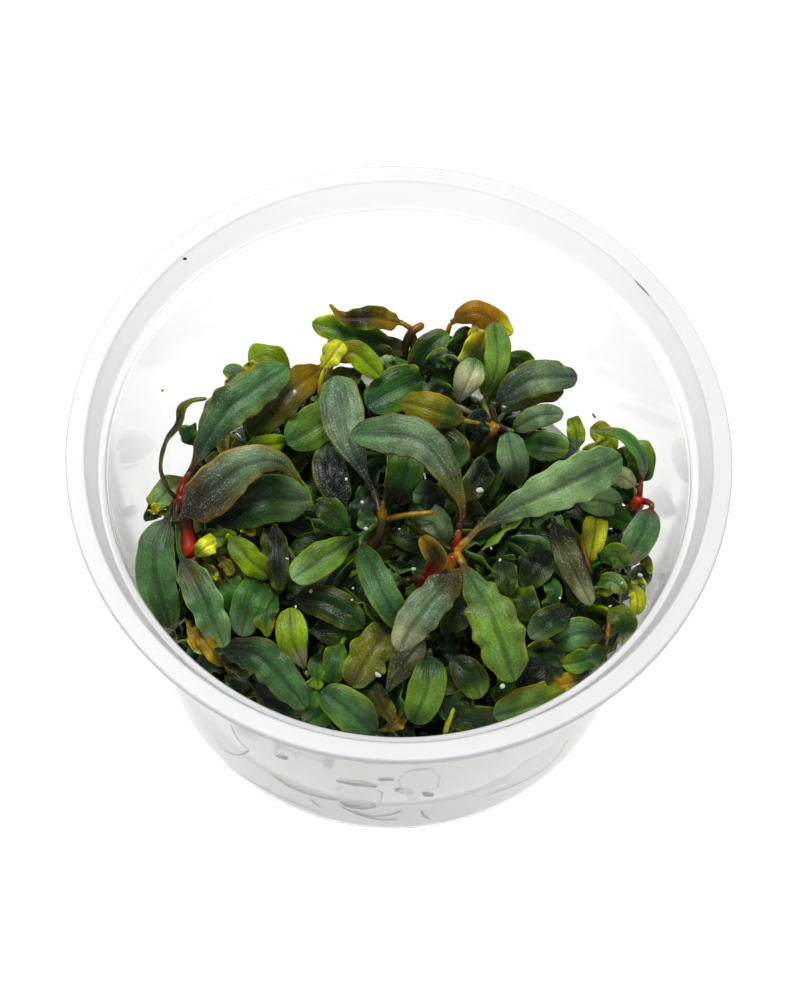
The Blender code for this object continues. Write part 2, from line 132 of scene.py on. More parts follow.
# Main leaves, one for each leaf of the solid model. Each row: node, crown, width, widest place (0 to 1),
# fold, wave, amount of pearly grains with painted glints, colours (stalk, base, middle, tip, margin), points
# from stalk to tip. A leaf with no crown grows from inside the mound
LEAVES = (
    ("leaf_left_long", "left", 7.6, 0.6, 0.15, 0.55, 0.35, "red steel teal teal olive",
     ((-36.2, 3.6, 44.0), (-29.7, 13.6, 51.0), (-19.8, 23.3, 50.5))),
    ("leaf_left_shiny", "left", 8.2, 0.3, -0.2, 0.25, 0.7, "umber plum slate olive amber",
     ((-37.1, -4.0, 44.0), (-32.3, -1.2, 48.0), (-26.4, 3.6, 50.8), (-20.6, 5.2, 50.2), (-15.7, 3.1, 45.6))),
    ("leaf_left_under", "", 8.4, 0.55, 0.1, 0.1, 0.2, "night night deep slate green",
     ((-31.9, -2.6, 40.5), (-23.2, 0.6, 44.0), (-14.8, 2.6, 41.5))),
    ("leaf_left_hanging", "left", 7.2, 0.5, -0.1, 0.15, 0.2, "umber teal teal moss sage",
     ((-38.4, -1.6, 42.4), (-40.5, -10.1, 41.0), (-37.3, -19.6, 34.5))),
    ("leaf_left_strip", "left", 6.0, 0.5, 0.25, 0.4, 0.3, "moss bronze teal sage sage",
     ((-36.2, -8.7, 41.0), (-31.6, -17.1, 41.2), (-27.7, -23.8, 36.5))),
    ("leaf_left_low", "", 6.0, 0.55, 0.1, 0.1, 0.15, "moss moss fresh slate green",
     ((-21.0, -9.5, 38.0), (-23.7, -16.5, 41.0), (-25.0, -21.8, 37.5))),
    ("leaf_left_bright", "", 4.6, 0.5, 0.15, 0.2, 0.0, "lime lime lime green lime",
     ((-28.2, -6.0, 43.5), (-24.3, -10.0, 43.0), (-20.4, -11.7, 40.5))),
    ("leaf_back_dark", "back", 6.6, 0.5, 0.1, 0.3, 0.1, "amber amber bronze moss olive",
     ((-13.6, 26.6, 45.8), (-19.7, 19.5, 47.5), (-26.0, 13.4, 43.5))),
    ("leaf_back_broad", "", 7.6, 0.55, 0.1, 0.15, 0.15, "deep slate green teal lime",
     ((-8.8, 19.8, 41.4), (-13.5, 15.9, 44.4), (-19.5, 12.4, 43.0))),
    ("leaf_speckled", "mid", 8.0, 0.68, 0.12, 0.15, 1.0, "umber steel slate teal olive",
     ((-3.6, 2.6, 43.5), (-8.8, 11.3, 48.5), (-11.5, 22.4, 49.5))),
    ("leaf_back_purple", "mid", 6.0, 0.5, 0.1, 0.15, 0.9, "umber night night slate olive",
     ((-8.5, 1.5, 40.5), (-11.6, 7.0, 43.0), (-12.4, 12.8, 42.0))),
    ("leaf_mid_bright", "mid", 6.2, 0.62, 0.12, 0.1, 0.2, "deep moss green sage lime",
     ((-5.6, -4.4, 43.5), (-11.5, -10.0, 46.0), (-17.0, -13.8, 44.0))),
    ("leaf_mid_teal", "mid", 5.8, 0.55, 0.1, 0.1, 0.25, "moss fresh teal deep green",
     ((-5.9, -5.8, 44.0), (-2.5, -14.7, 46.3), (2.3, -21.5, 43.0))),
    ("leaf_mid_dark", "", 6.0, 0.5, 0.1, 0.2, 0.1, "night night deep deep olive",
     ((-17.0, -15.0, 39.5), (-10.5, -16.6, 41.0), (-4.5, -20.0, 40.0))),
    ("leaf_centre_arch", "centre", 7.0, 0.62, 0.12, 0.3, 0.55, "red olive slate teal bronze",
     ((10.6, -5.4, 48.2), (10.9, -1.5, 51.0), (6.6, 5.2, 54.2), (1.7, 8.8, 54.8), (-8.5, 9.9, 52.5))),
    ("leaf_centre_right", "centre", 8.4, 0.62, 0.14, 0.55, 0.5, "rust slate sage teal sage",
     ((12.0, -6.8, 48.0), (15.4, -3.8, 49.5), (26.8, 1.1, 54.0), (37.6, 9.4, 50.4))),
    ("leaf_centre_front", "centre", 8.2, 0.6, 0.1, 0.6, 0.35, "rust teal green green olive",
     ((10.7, -9.1, 46.8), (16.6, -21.3, 50.0), (21.0, -30.6, 44.5))),
    ("leaf_centre_olive", "centre", 6.8, 0.5, -0.15, 0.3, 0.8, "rust bronze slate lilac olive",
     ((11.8, -10.4, 45.6), (6.7, -18.2, 48.2), (3.3, -23.0, 47.2), (1.5, -26.3, 44.6))),
    ("leaf_centre_tail", "", 4.8, 0.35, -0.15, 0.15, 1.0, "bronze lilac bronze night olive",
     ((6.0, -22.6, 43.4), (2.9, -26.8, 42.6), (-0.5, -31.4, 37.5))),
    ("leaf_centre_rolled", "", 3.6, 0.5, 0.6, 0.1, 0.0, "red red umber rust olive",
     ((5.2, -12.8, 46.0), (7.2, -10.6, 47.8), (4.3, -6.8, 48.6))),
    ("leaf_centre_blue", "centre", 6.4, 0.5, 0.1, 0.1, 0.4, "umber moss sage deep teal",
     ((1.6, -0.6, 41.5), (5.6, -1.2, 43.2), (8.6, -5.0, 42.0))),
    ("leaf_centre_dark", "", 6.6, 0.5, 0.1, 0.15, 0.1, "night night fresh green olive",
     ((-0.2, 1.8, 41.5), (1.2, 6.5, 45.0), (2.0, 11.0, 45.5))),
    ("leaf_top_curled", "top", 4.2, 0.38, 0.25, 0.5, 0.1, "rust amber umber amber lime",
     ((-0.6, 33.0, 50.0), (-5.3, 32.7, 52.0), (-10.5, 32.3, 52.2), (-13.3, 34.0, 53.6))),
    ("leaf_top_yellow", "top", 5.0, 0.55, 0.2, 0.25, 0.0, "umber deep fresh lime yellow",
     ((-1.2, 30.4, 46.0), (-8.5, 31.0, 48.8), (-16.2, 32.9, 48.8))),
    ("leaf_top_lime", "back", 4.6, 0.5, 0.1, 0.1, 0.0, "amber amber lime lime lime",
     ((-12.2, 25.6, 48.4), (-8.6, 27.2, 49.3), (-3.8, 23.4, 48.2))),
    ("leaf_top_broad", "", 7.8, 0.55, 0.1, 0.1, 0.15, "deep fresh fresh pine lime",
     ((5.2, 26.6, 43.8), (0.0, 23.6, 44.8), (-6.2, 19.6, 44.2))),
    ("leaf_top_olive", "top", 5.0, 0.5, 0.15, 0.15, 0.1, "umber night deep green olive",
     ((1.2, 25.6, 44.0), (4.0, 29.6, 47.4), (7.2, 32.6, 48.4))),
    ("leaf_top_orange", "", 4.6, 0.5, -0.2, 0.2, 0.0, "rust rust rust yellow amber",
     ((7.6, 33.8, 49.6), (12.0, 35.6, 50.6), (18.4, 33.0, 48.4))),
    ("leaf_top_upright", "rear", 4.8, 0.62, 0.1, 0.1, 0.2, "olive moss green green lime",
     ((13.9, 20.4, 46.0), (15.9, 26.2, 50.0), (15.0, 33.0, 52.2))),
    ("leaf_top_lilac", "rear", 5.2, 0.6, 0.1, 0.1, 1.0, "umber lilac lilac fresh olive",
     ((9.4, 19.8, 46.0), (11.0, 22.6, 50.3), (12.3, 26.4, 50.8))),
    ("leaf_top_yellowed", "rear", 5.8, 0.5, -0.15, 0.1, 0.1, "rust green olive olive amber",
     ((11.2, 15.9, 47.8), (5.0, 16.0, 51.5), (-0.1, 18.3, 49.5))),
    ("leaf_rear_bluegrey", "rear", 6.0, 0.5, 0.1, 0.25, 0.5, "umber steel slate steel olive",
     ((15.4, 19.6, 46.8), (21.7, 22.8, 51.0), (29.8, 25.8, 47.5))),
    ("leaf_rear_slate", "rear", 4.2, 0.5, 0.1, 0.1, 0.3, "umber sage slate slate olive",
     ((18.8, 15.8, 45.2), (23.2, 17.2, 48.5), (27.6, 18.2, 48.0))),
    ("leaf_rear_green", "rear", 5.2, 0.5, 0.1, 0.1, 0.1, "deep fresh deep green sage",
     ((20.6, 14.4, 43.6), (24.5, 13.0, 46.0), (28.8, 12.6, 46.0))),
    ("leaf_rear_teal", "", 5.4, 0.55, 0.12, 0.1, 0.2, "deep moss slate teal green",
     ((20.8, 6.0, 43.0), (19.3, 10.0, 46.5), (18.2, 14.2, 47.6))),
    ("leaf_right_streaked", "right", 5.2, 0.5, 0.1, 0.1, 0.1, "umber sage sage deep sage",
     ((38.4, 3.2, 42.6), (35.3, 3.4, 45.0), (30.8, 4.0, 44.5))),
    ("leaf_right_teal", "right", 5.6, 0.5, 0.1, 0.1, 0.3, "red teal teal lilac sage",
     ((43.2, 2.6, 46.2), (41.8, -2.0, 45.4), (38.8, -6.4, 41.2))),
    ("leaf_right_yellow", "", 4.4, 0.5, 0.1, 0.05, 0.0, "umber yellow yellow yellow lime",
     ((33.0, -6.4, 39.8), (33.7, -1.9, 42.4), (34.1, 3.4, 42.2))),
    ("leaf_right_purple", "", 4.6, 0.5, 0.25, 0.15, 0.7, "umber moss bronze lilac umber",
     ((26.5, 0.3, 43.5), (28.9, -7.3, 46.2), (30.8, -10.9, 45.3), (33.7, -14.4, 41.5))),
    ("leaf_right_low", "", 5.0, 0.5, 0.1, 0.1, 0.2, "deep deep deep slate olive",
     ((30.2, -15.8, 42.0), (26.5, -19.2, 44.5), (23.3, -21.4, 42.5))),
    ("leaf_right_lower", "", 5.4, 0.5, 0.1, 0.1, 0.3, "deep moss teal night lime",
     ((36.2, -19.0, 39.0), (31.5, -19.4, 40.6), (26.8, -20.8, 39.0))),
    ("leaf_front_right", "", 6.6, 0.5, 0.1, 0.15, 0.1, "amber lime green teal amber",
     ((30.4, -28.0, 36.5), (24.5, -32.0, 39.0), (18.0, -33.6, 37.0))),
    ("leaf_front_dark", "", 5.4, 0.55, 0.1, 0.05, 0.1, "night deep deep green olive",
     ((9.9, -24.8, 40.5), (13.4, -28.0, 40.5), (15.7, -31.2, 38.5))),
    ("leaf_front_green", "", 6.4, 0.5, 0.1, 0.05, 0.1, "deep fresh green deep lime",
     ((6.8, -25.3, 43.0), (6.8, -31.2, 43.0), (4.7, -36.0, 37.5))),
    ("leaf_front_left", "", 6.8, 0.55, 0.1, 0.05, 0.1, "deep teal teal fresh lime",
     ((-1.1, -37.1, 33.0), (-5.7, -34.6, 37.5), (-10.9, -31.5, 39.0))),
    ("leaf_front_olive", "", 7.0, 0.55, 0.1, 0.55, 0.4, "umber bronze olive bronze lime",
     ((0.7, -18.8, 40.0), (-2.9, -25.1, 42.0), (-6.1, -30.3, 38.5))),
    ("leaf_front_lime", "", 5.4, 0.6, 0.1, 0.05, 0.2, "umber lilac lime lime lime",
     ((-13.5, -28.1, 37.5), (-16.2, -24.4, 43.0), (-17.0, -18.8, 43.5))),
    ("leaf_front_teal", "", 6.4, 0.5, 0.1, 0.45, 0.2, "deep deep teal teal bronze",
     ((-28.8, -25.6, 40.0), (-21.1, -27.7, 42.2), (-13.2, -34.3, 37.6))),
)

# Leaves that arch over a hub, in the same order with the hub last
ARCHED_LEAVES = (
    ("leaf_left_arched", "left", 1.9, 0.7, 0.1, 0.1, 0.1, "umber umber umber olive olive",
     ((-38.6, 1.0, 45.2), (-40.3, 4.5, 46.4), (-39.6, 8.3, 48.4), (-37.6, 11.4, 50.0), (-36.9, 14.4, 51.0),
      (-33.2, 16.7, 49.6)), (-33.5, 7.0, 43.0)),
    ("leaf_right_arched", "right", 4.0, 0.42, 0.1, 0.1, 0.1, "red fresh fresh olive green",
     ((41.2, 6.6, 46.2), (41.2, 8.8, 48.2), (39.5, 11.4, 50.0), (36.8, 13.4, 51.0), (33.2, 14.3, 49.6)),
     (35.5, 8.0, 43.0)),
)

# Rhizomes: node, radius, colours (growing end, middle, lower end), points
RHIZOMES = (
    ("rhizome_left", 1.45, "red umber red scarlet",
     ((-37.0, 1.6, 43.8), (-35.6, -4.0, 40.8), (-34.4, -8.6, 39.6))),
    ("rhizome_centre", 1.1, "red rust umber umber",
     ((10.2, -8.4, 46.6), (8.6, -11.2, 44.0), (3.0, -11.6, 41.6))),
    ("rhizome_mid", 0.85, "rust umber umber umber",
     ((-2.4, 0.6, 44.2), (-2.5, -3.2, 43.0), (-4.0, -6.0, 40.8))),
    ("rhizome_top", 0.75, "rust umber umber moss",
     ((3.2, 34.0, 48.6), (0.6, 31.8, 48.0), (-0.4, 28.6, 43.0))),
    ("rhizome_rear", 0.95, "rust umber umber umber",
     ((16.6, 16.6, 46.2), (14.4, 14.0, 44.8), (12.4, 12.4, 41.2))),
    ("rhizome_right", 1.15, "scarlet umber night night",
     ((41.5, 5.0, 44.8), (40.2, 3.2, 42.4), (37.5, 1.2, 38.0))),
)

# Smaller leaves between the main ones, by part of the cup: width, fold, colours (base, middle, tip, margin),
# points from base to tip. All are drawn wider than their rows say, by SMALL_SWELL
SMALL_SWELL = 1.08
SMALL_LEAVES = {"left": (
    (3.4, 0.1, "olive yellow yellow lime", ((-33.7, -8.7, 40.6), (-31.7, -7.1, 41.4), (-29.8, -5.7, 41.0))),
    (3.8, 0.1, "night night moss olive", ((-20.5, -2.7, 42.2), (-19.7, -9.1, 43.0), (-18.9, -14.6, 40.6))),
    (3.0, 0.2, "night deep moss lime", ((-28.4, -8.7, 39.6), (-27.3, -11.1, 40.0), (-24.8, -13.0, 39.6))),
    (4.4, 0.1, "night night night olive", ((-33.6, -8.5, 38.6), (-31.2, -13.1, 39.0), (-27.7, -15.4, 38.0))),
    (4.4, 0.1, "olive sage lime lime", ((-36.0, 4.6, 43.4), (-38.8, 2.4, 43.0), (-41.6, -0.9, 41.4))),
    (3.2, 0.1, "moss fresh sage sage", ((-34.8, 10.5, 44.0), (-36.0, 12.0, 45.5), (-37.0, 13.8, 45.0))),
    (2.4, 0.3, "olive night umber umber", ((-39.4, -0.6, 41.0), (-41.0, -1.2, 41.2), (-42.8, -2.4, 40.6))),
    (1.6, 0.2, "yellow amber lime yellow", ((-40.2, -0.2, 42.0), (-40.9, -0.9, 42.0), (-41.3, -1.8, 41.6))),
    (3.6, 0.2, "green slate green lime", ((-28.2, 20.4, 44.0), (-29.2, 23.4, 46.0), (-31.0, 23.6, 46.4))),
    (2.2, 0.2, "lime yellow yellow sage", ((-26.8, 23.0, 45.0), (-26.6, 24.6, 46.0), (-25.6, 26.0, 46.6))),
    (4.2, 0.35, "lime lime lime lime", ((-19.3, 25.2, 44.5), (-23.5, 28.0, 45.0), (-26.8, 26.4, 45.5))),
    (3.4, 0.2, "fresh lime lime lime", ((-27.0, 9.0, 43.0), (-23.5, 11.2, 43.8), (-19.3, 13.0, 42.4))),
    (2.8, 0.1, "umber green lime lime", ((-33.4, -4.4, 40.8), (-30.2, -5.4, 41.4), (-26.8, -4.6, 41.0))),
    (2.0, 0.1, "umber olive olive rust", ((-29.6, -9.0, 41.0), (-28.4, -10.2, 41.4), (-27.0, -12.0, 40.8))),
    (1.8, 0.1, "umber deep yellow amber", ((-31.8, -10.4, 40.0), (-30.6, -11.6, 40.6), (-29.6, -12.8, 40.2))),
    (2.0, 0.1, "night moss amber yellow", ((-27.2, -1.9, 41.0), (-25.6, -3.0, 41.4), (-23.8, -4.4, 40.8))),
    (4.2, 0.1, "deep deep night olive", ((-20.4, -1.6, 39.6), (-20.6, -5.0, 40.2), (-20.2, -8.4, 39.0))),
    (3.0, 0.1, "amber amber moss amber", ((-32.7, -21.0, 37.6), (-30.2, -24.2, 37.6), (-27.6, -26.4, 35.6))),
    (2.6, 0.1, "amber rust yellow yellow",
     ((-34.0, -20.4, 37.0), (-32.6, -22.6, 37.0), (-31.4, -24.6, 35.8))),
    (3.4, 0.2, "night deep sage rust", ((-28.4, -25.0, 37.0), (-25.6, -26.6, 37.6), (-23.2, -28.4, 36.0))),
    (4.6, 0.1, "umber fresh moss green", ((-29.0, -11.0, 38.6), (-27.4, -14.4, 39.4), (-27.8, -18.0, 37.6))),
), "middle": (
    (4.2, 0.1, "fresh moss deep green", ((-8.0, -2.6, 41.6), (-11.0, -0.4, 43.4), (-13.8, 1.2, 43.4))),
    (3.2, 0.1, "deep deep sage green", ((-4.4, 0.3, 43.0), (-4.9, -1.6, 43.6), (-5.1, -3.4, 42.8))),
    (4.6, 0.1, "night night sage moss", ((8.0, 0.8, 44.0), (5.4, 2.6, 45.2), (2.6, 3.4, 44.6))),
    (5.8, 0.1, "night deep teal olive", ((5.2, 13.0, 44.8), (8.4, 12.0, 46.2), (10.8, 8.4, 45.4))),
    (4.0, 0.1, "night night night moss", ((13.4, 13.0, 45.4), (13.0, 16.0, 47.2), (14.4, 18.2, 47.2))),
    (4.2, 0.1, "deep moss moss olive", ((17.8, -7.4, 42.6), (18.8, -11.0, 43.8), (19.8, -14.2, 42.6))),
    (5.6, 0.1, "moss night moss green", ((24.6, -3.6, 41.0), (24.2, -8.0, 42.4), (22.4, -11.8, 41.0))),
    (2.8, 0.2, "fresh fresh deep lime", ((25.8, -9.2, 41.2), (27.2, -12.6, 42.2), (26.4, -16.0, 41.0))),
    (4.8, 0.1, "lime moss moss green", ((20.4, -11.6, 41.0), (22.0, -14.6, 42.2), (24.2, -18.0, 41.0))),
    (5.6, 0.1, "night moss fresh olive", ((-13.6, -20.4, 38.0), (-8.6, -20.2, 38.6), (-4.0, -19.6, 38.0))),
    (4.6, 0.1, "deep night night teal", ((-3.4, 6.0, 41.0), (-5.0, 2.8, 42.4), (-6.6, -0.8, 41.4))),
    (4.4, 0.1, "bronze night night green", ((11.4, 3.2, 42.0), (13.6, 7.2, 43.6), (15.0, 11.2, 43.0))),
    (4.2, 0.1, "night night deep olive", ((14.6, -12.0, 42.0), (12.6, -16.8, 43.0), (10.2, -20.8, 41.4))),
    (4.4, 0.1, "deep deep teal green", ((30.0, 8.6, 43.0), (33.6, 8.2, 44.4), (36.6, 6.6, 43.6))),
), "back": (
    (4.0, 0.1, "plum bronze bronze lime", ((-15.9, 21.5, 44.0), (-11.5, 23.5, 45.5), (-7.2, 25.1, 46.0))),
    (3.6, 0.2, "yellow yellow yellow lime", ((-13.8, 23.5, 50.0), (-12.2, 25.4, 52.0), (-10.8, 27.7, 52.0))),
    (4.6, 0.1, "night deep deep green", ((-14.5, 21.2, 41.0), (-10.8, 23.3, 42.0), (-6.4, 24.7, 42.0))),
    (4.5, 0.1, "night night moss olive", ((-0.3, 26.3, 44.0), (-5.3, 28.4, 47.0), (-10.3, 29.5, 48.0))),
    (4.6, 0.1, "deep deep fresh green", ((8.4, 24.4, 43.5), (7.2, 28.1, 46.0), (8.0, 32.4, 47.4))),
    (5.4, -0.1, "deep moss amber yellow", ((11.2, 24.7, 44.0), (12.1, 27.9, 47.5), (13.4, 32.5, 49.4))),
    (4.2, 0.2, "deep fresh moss lime", ((3.7, 22.8, 43.0), (0.0, 25.8, 45.0), (-3.2, 28.2, 46.0))),
    (5.0, 0.1, "night night umber green", ((8.3, 27.2, 44.0), (9.8, 30.2, 46.6), (10.6, 34.2, 48.0))),
    (2.6, 0.2, "night deep lilac lime", ((4.4, 26.0, 46.0), (5.6, 28.2, 47.6), (7.4, 29.4, 47.2))),
    (2.4, 0.2, "fresh night night sage", ((6.2, 27.0, 46.4), (8.0, 27.4, 47.6), (9.6, 26.6, 47.0))),
    (2.6, 0.3, "night night moss green", ((5.2, 23.6, 45.0), (7.0, 22.6, 46.0), (9.0, 21.2, 45.0))),
    (4.0, -0.2, "yellow yellow amber yellow", ((11.6, 34.2, 49.4), (12.6, 31.8, 48.6), (12.8, 28.6, 46.6))),
    (4.2, 0.1, "green moss green green", ((16.8, 27.4, 44.0), (19.2, 29.0, 45.6), (22.6, 28.6, 45.2))),
    (3.2, 0.1, "fresh sage green sage", ((-2.4, 26.4, 45.2), (-3.6, 27.6, 46.4), (-4.6, 28.8, 46.2))),
    (3.6, 0.1, "bronze night night olive", ((1.0, 29.6, 45.0), (-3.0, 30.2, 47.0), (-7.4, 29.4, 46.6))),
    (3.6, 0.1, "sage olive olive umber", ((17.6, 19.8, 44.4), (22.4, 22.6, 46.2), (27.6, 23.4, 46.0))),
    (3.0, 0.1, "sage lime olive lime", ((30.2, 13.4, 44.0), (29.8, 16.0, 46.4), (28.8, 18.2, 46.4))),
    (2.6, 0.1, "deep deep green green", ((25.6, 11.6, 43.6), (26.6, 13.8, 45.2), (27.2, 15.6, 45.0))),
    (2.4, 0.2, "deep deep olive amber", ((24.0, 13.0, 44.6), (24.8, 14.6, 45.6), (25.6, 15.8, 45.2))),
    (4.4, 0.1, "night fresh moss green", ((20.0, 24.0, 43.0), (16.6, 24.4, 44.4), (13.0, 25.0, 43.8))),
    (4.8, 0.1, "deep moss fresh olive", ((0.0, 27.4, 42.6), (4.0, 25.0, 44.0), (8.0, 23.4, 43.2))),
    (4.2, 0.1, "deep sage deep lime", ((-21.6, 17.6, 43.0), (-24.6, 20.6, 44.6), (-27.2, 22.4, 44.2))),
    (4.2, 0.1, "deep moss sage olive", ((-30.2, 14.2, 42.6), (-31.8, 17.6, 44.4), (-31.6, 20.6, 44.2))),
    (3.4, 0.1, "green olive lime olive", ((32.2, 10.4, 43.4), (34.2, 12.6, 45.4), (36.6, 13.0, 45.4))),
), "right": (
    (4.4, 0.1, "night fresh fresh green", ((35.8, 11.0, 41.0), (38.2, 8.0, 42.0), (40.6, 5.9, 40.0))),
    (4.0, 0.2, "moss lime olive amber", ((34.3, 13.0, 43.0), (35.1, 15.3, 45.5), (32.3, 16.8, 46.0))),
    (5.0, 0.1, "fresh green sage lime", ((40.7, 7.8, 43.5), (41.3, 10.8, 46.0), (38.7, 13.6, 47.6))),
    (3.6, 0.1, "night moss sage green", ((35.7, 9.7, 43.0), (37.8, 11.8, 45.0), (39.6, 13.2, 45.5))),
    (4.8, 0.1, "deep deep green lime", ((31.0, 9.9, 42.0), (33.9, 12.5, 44.0), (36.9, 13.9, 44.6))),
    (4.8, 0.1, "night moss fresh moss", ((30.1, 3.7, 42.0), (34.9, 2.4, 43.0), (40.1, 1.2, 41.4))),
    (4.6, 0.3, "night night deep lime", ((34.6, -6.4, 40.0), (36.9, -5.8, 41.5), (39.4, -4.7, 41.0))),
    (3.6, 0.3, "deep night deep sage", ((43.7, -5.8, 39.0), (41.8, -8.2, 40.0), (39.3, -10.4, 39.5))),
    (3.2, 0.1, "lime olive green olive", ((34.4, -11.0, 39.5), (37.0, -10.3, 41.0), (39.4, -9.0, 40.5))),
    (3.4, 0.1, "lilac lilac lilac sage", ((40.4, 6.6, 45.0), (38.0, 7.6, 46.2), (35.6, 7.2, 45.8))),
    (4.2, 0.1, "fresh green green lime", ((35.0, -6.2, 41.4), (37.2, -5.4, 42.6), (39.4, -6.8, 41.6))),
    (2.8, 0.3, "green sage olive lime", ((34.6, -10.6, 40.8), (37.0, -9.8, 41.8), (39.4, -11.2, 40.6))),
    (2.2, 0.3, "moss olive yellow lime", ((41.0, -4.2, 40.0), (42.6, -5.2, 40.6), (43.2, -7.4, 39.0))),
    (2.6, 0.3, "olive yellow lime lime", ((39.2, -10.0, 40.0), (41.2, -11.4, 40.8), (41.6, -14.4, 38.4))),
    (4.8, 0.1, "lime moss lilac olive", ((36.6, -13.8, 39.0), (39.0, -16.0, 39.2), (39.4, -19.0, 35.8))),
    (4.0, 0.1, "night deep sage green", ((38.6, -0.8, 40.6), (37.4, -3.0, 41.4), (35.8, -5.4, 40.0))),
    (2.0, 0.3, "deep lime slate yellow", ((40.6, -7.8, 39.6), (41.6, -9.2, 40.2), (42.4, -10.8, 39.0))),
    (3.8, 0.2, "moss fresh lime lime", ((37.0, -20.6, 38.0), (33.4, -23.2, 39.0), (29.0, -24.2, 38.2))),
    (4.0, 0.1, "moss night fresh yellow", ((29.8, -21.6, 38.6), (26.4, -22.8, 39.4), (23.2, -21.8, 38.8))),
    (3.2, 0.1, "olive amber deep lime", ((33.0, -25.4, 35.6), (29.6, -27.0, 36.6), (26.4, -27.0, 36.0))),
    (3.0, 0.1, "night night moss umber", ((37.2, -15.6, 37.0), (36.8, -18.4, 38.0), (36.0, -21.0, 36.6))),
), "front": (
    (5.2, 0.1, "night night deep moss", ((21.6, -29.7, 37.5), (24.8, -26.8, 39.5), (28.0, -22.7, 39.0))),
    (4.6, 0.1, "night deep deep green", ((14.2, -33.9, 33.5), (11.0, -32.1, 36.5), (9.8, -28.7, 37.0))),
    (3.6, -0.1, "deep bronze olive olive", ((-4.6, -28.2, 37.4), (-1.6, -31.4, 37.0), (1.2, -34.6, 34.0))),
    (2.4, 0.1, "olive amber moss amber", ((0.2, -35.4, 32.6), (2.0, -34.4, 33.6), (3.4, -33.0, 34.0))),
    (4.2, 0.1, "green fresh deep lime", ((-8.0, -23.0, 39.4), (-8.9, -26.8, 40.4), (-9.2, -30.2, 38.6))),
    (3.4, 0.1, "fresh fresh lime amber", ((-19.4, -14.4, 39.6), (-21.0, -18.6, 40.6), (-20.6, -22.4, 39.0))),
    (3.8, 0.2, "umber fresh olive lime", ((-15.4, -33.4, 34.0), (-12.8, -31.2, 36.6), (-11.2, -28.4, 36.6))),
    (2.8, 0.1, "deep fresh lime lime", ((-11.6, -24.4, 38.0), (-12.0, -27.4, 38.8), (-11.4, -30.8, 37.2))),
    (4.8, 0.1, "moss deep bronze olive", ((9.0, -32.4, 34.6), (14.6, -34.0, 35.4), (20.4, -32.8, 34.6))),
    (4.8, 0.1, "sage fresh lime green", ((-14.0, -35.0, 31.6), (-11.6, -33.6, 33.4), (-9.8, -31.4, 34.4))),
    (4.6, 0.1, "night night moss olive", ((-22.6, -29.4, 34.6), (-18.4, -32.0, 34.8), (-13.8, -33.6, 32.8))),
    (4.4, 0.1, "deep night green olive", ((15.6, -25.0, 38.0), (12.0, -27.2, 38.0), (8.4, -29.8, 36.4))),
    (4.4, 0.1, "green fresh moss olive", ((22.6, -24.6, 37.6), (20.8, -28.0, 38.0), (17.8, -30.6, 36.4))),
    (3.6, 0.1, "deep night sage lime", ((14.2, -33.6, 34.0), (12.4, -32.0, 35.6), (10.4, -30.0, 35.8))),
)}

# Undergrowth: tufts, leaves on the mound's side, and roots, with the least and the most of each size. A width
# is a share of the leaf's length. Growing points lie in layers, the highest just under the mound's surface
TUFT_LEAVES = 7
TUFT_LENGTHS = (11.0, 18.0)
TUFT_WIDTHS = (0.25, 0.36)
TUFT_LAYERS = 3
TUFT_LAYER_GAP = 3.5
TUFT_DEPTHS = (2.5, 4.5)
SIDE_LENGTHS = (7.0, 11.0)
SIDE_WIDTHS = (0.34, 0.5)
SIDE_PALE_BELOW = 0.6
ROOTS = 70
ROOT_RADII = (0.4, 0.8)

# Colours of the undergrowth (base, middle, tip, margin), the common ones more often. The common night and
# deep greens are painted shade for the depths of the clump. Leaves on the lower part of the side are pale
# with painted light, as they see the light that comes in through the wall
UNDERGROWTH_COLOURS = (
    *["night night deep green"] * 8, *["night deep night moss"] * 5, *["night deep moss green"] * 3,
    "moss moss green lime", "night bronze moss olive", "moss green lime lime", "deep teal deep sage",
)
SIDE_COLOURS = "sage green sage lime"

# Bare stalks, cut ends and young spikes: radius, colours (lower end, upper end), points
STALKS = (
    (0.55, "umber amber", ((-2.6, -1.6, 43.2), (1.4, -1.3, 45.2), (6.6, -0.8, 46.0))),
    (0.5, "rust umber", ((-2.2, -2.6, 43.0), (-2.4, -0.6, 44.6), (-2.3, 1.4, 45.6))),
    (0.6, "amber amber", ((-13.2, 24.6, 44.0), (-13.0, 28.0, 46.4), (-12.8, 31.6, 48.4))),
    (0.55, "yellow lime", ((11.4, -31.4, 36.0), (10.8, -33.6, 35.8), (9.9, -36.4, 33.8))),
    (0.35, "amber yellow", ((-29.6, 8.2, 42.6), (-30.8, 10.0, 44.6), (-32.0, 12.0, 45.6))),
    (0.4, "rust amber", ((-29.4, 8.2, 42.6), (-30.2, 10.4, 44.8), (-30.6, 12.8, 45.8))),
    (0.4, "rust yellow", ((-29.0, 8.2, 42.6), (-29.4, 10.4, 44.8), (-29.4, 12.8, 45.6))),
    (0.35, "umber rust", ((-28.6, 8.2, 42.6), (-28.4, 10.2, 44.4), (-27.8, 12.0, 45.2))),
    (0.45, "umber rust", ((36.6, -13.0, 38.0), (36.8, -16.6, 38.6), (36.4, -20.4, 37.4))),
    (0.45, "rust umber", ((31.4, -1.0, 41.0), (32.0, -4.4, 42.0), (33.6, -9.0, 41.4))),
    (0.4, "umber rust", ((14.2, 12.6, 42.6), (15.4, 14.6, 44.4), (16.4, 16.6, 45.4))),
    (0.45, "red rust", ((7.6, -9.6, 44.4), (9.0, -9.2, 45.8), (10.2, -8.4, 46.4))),
)

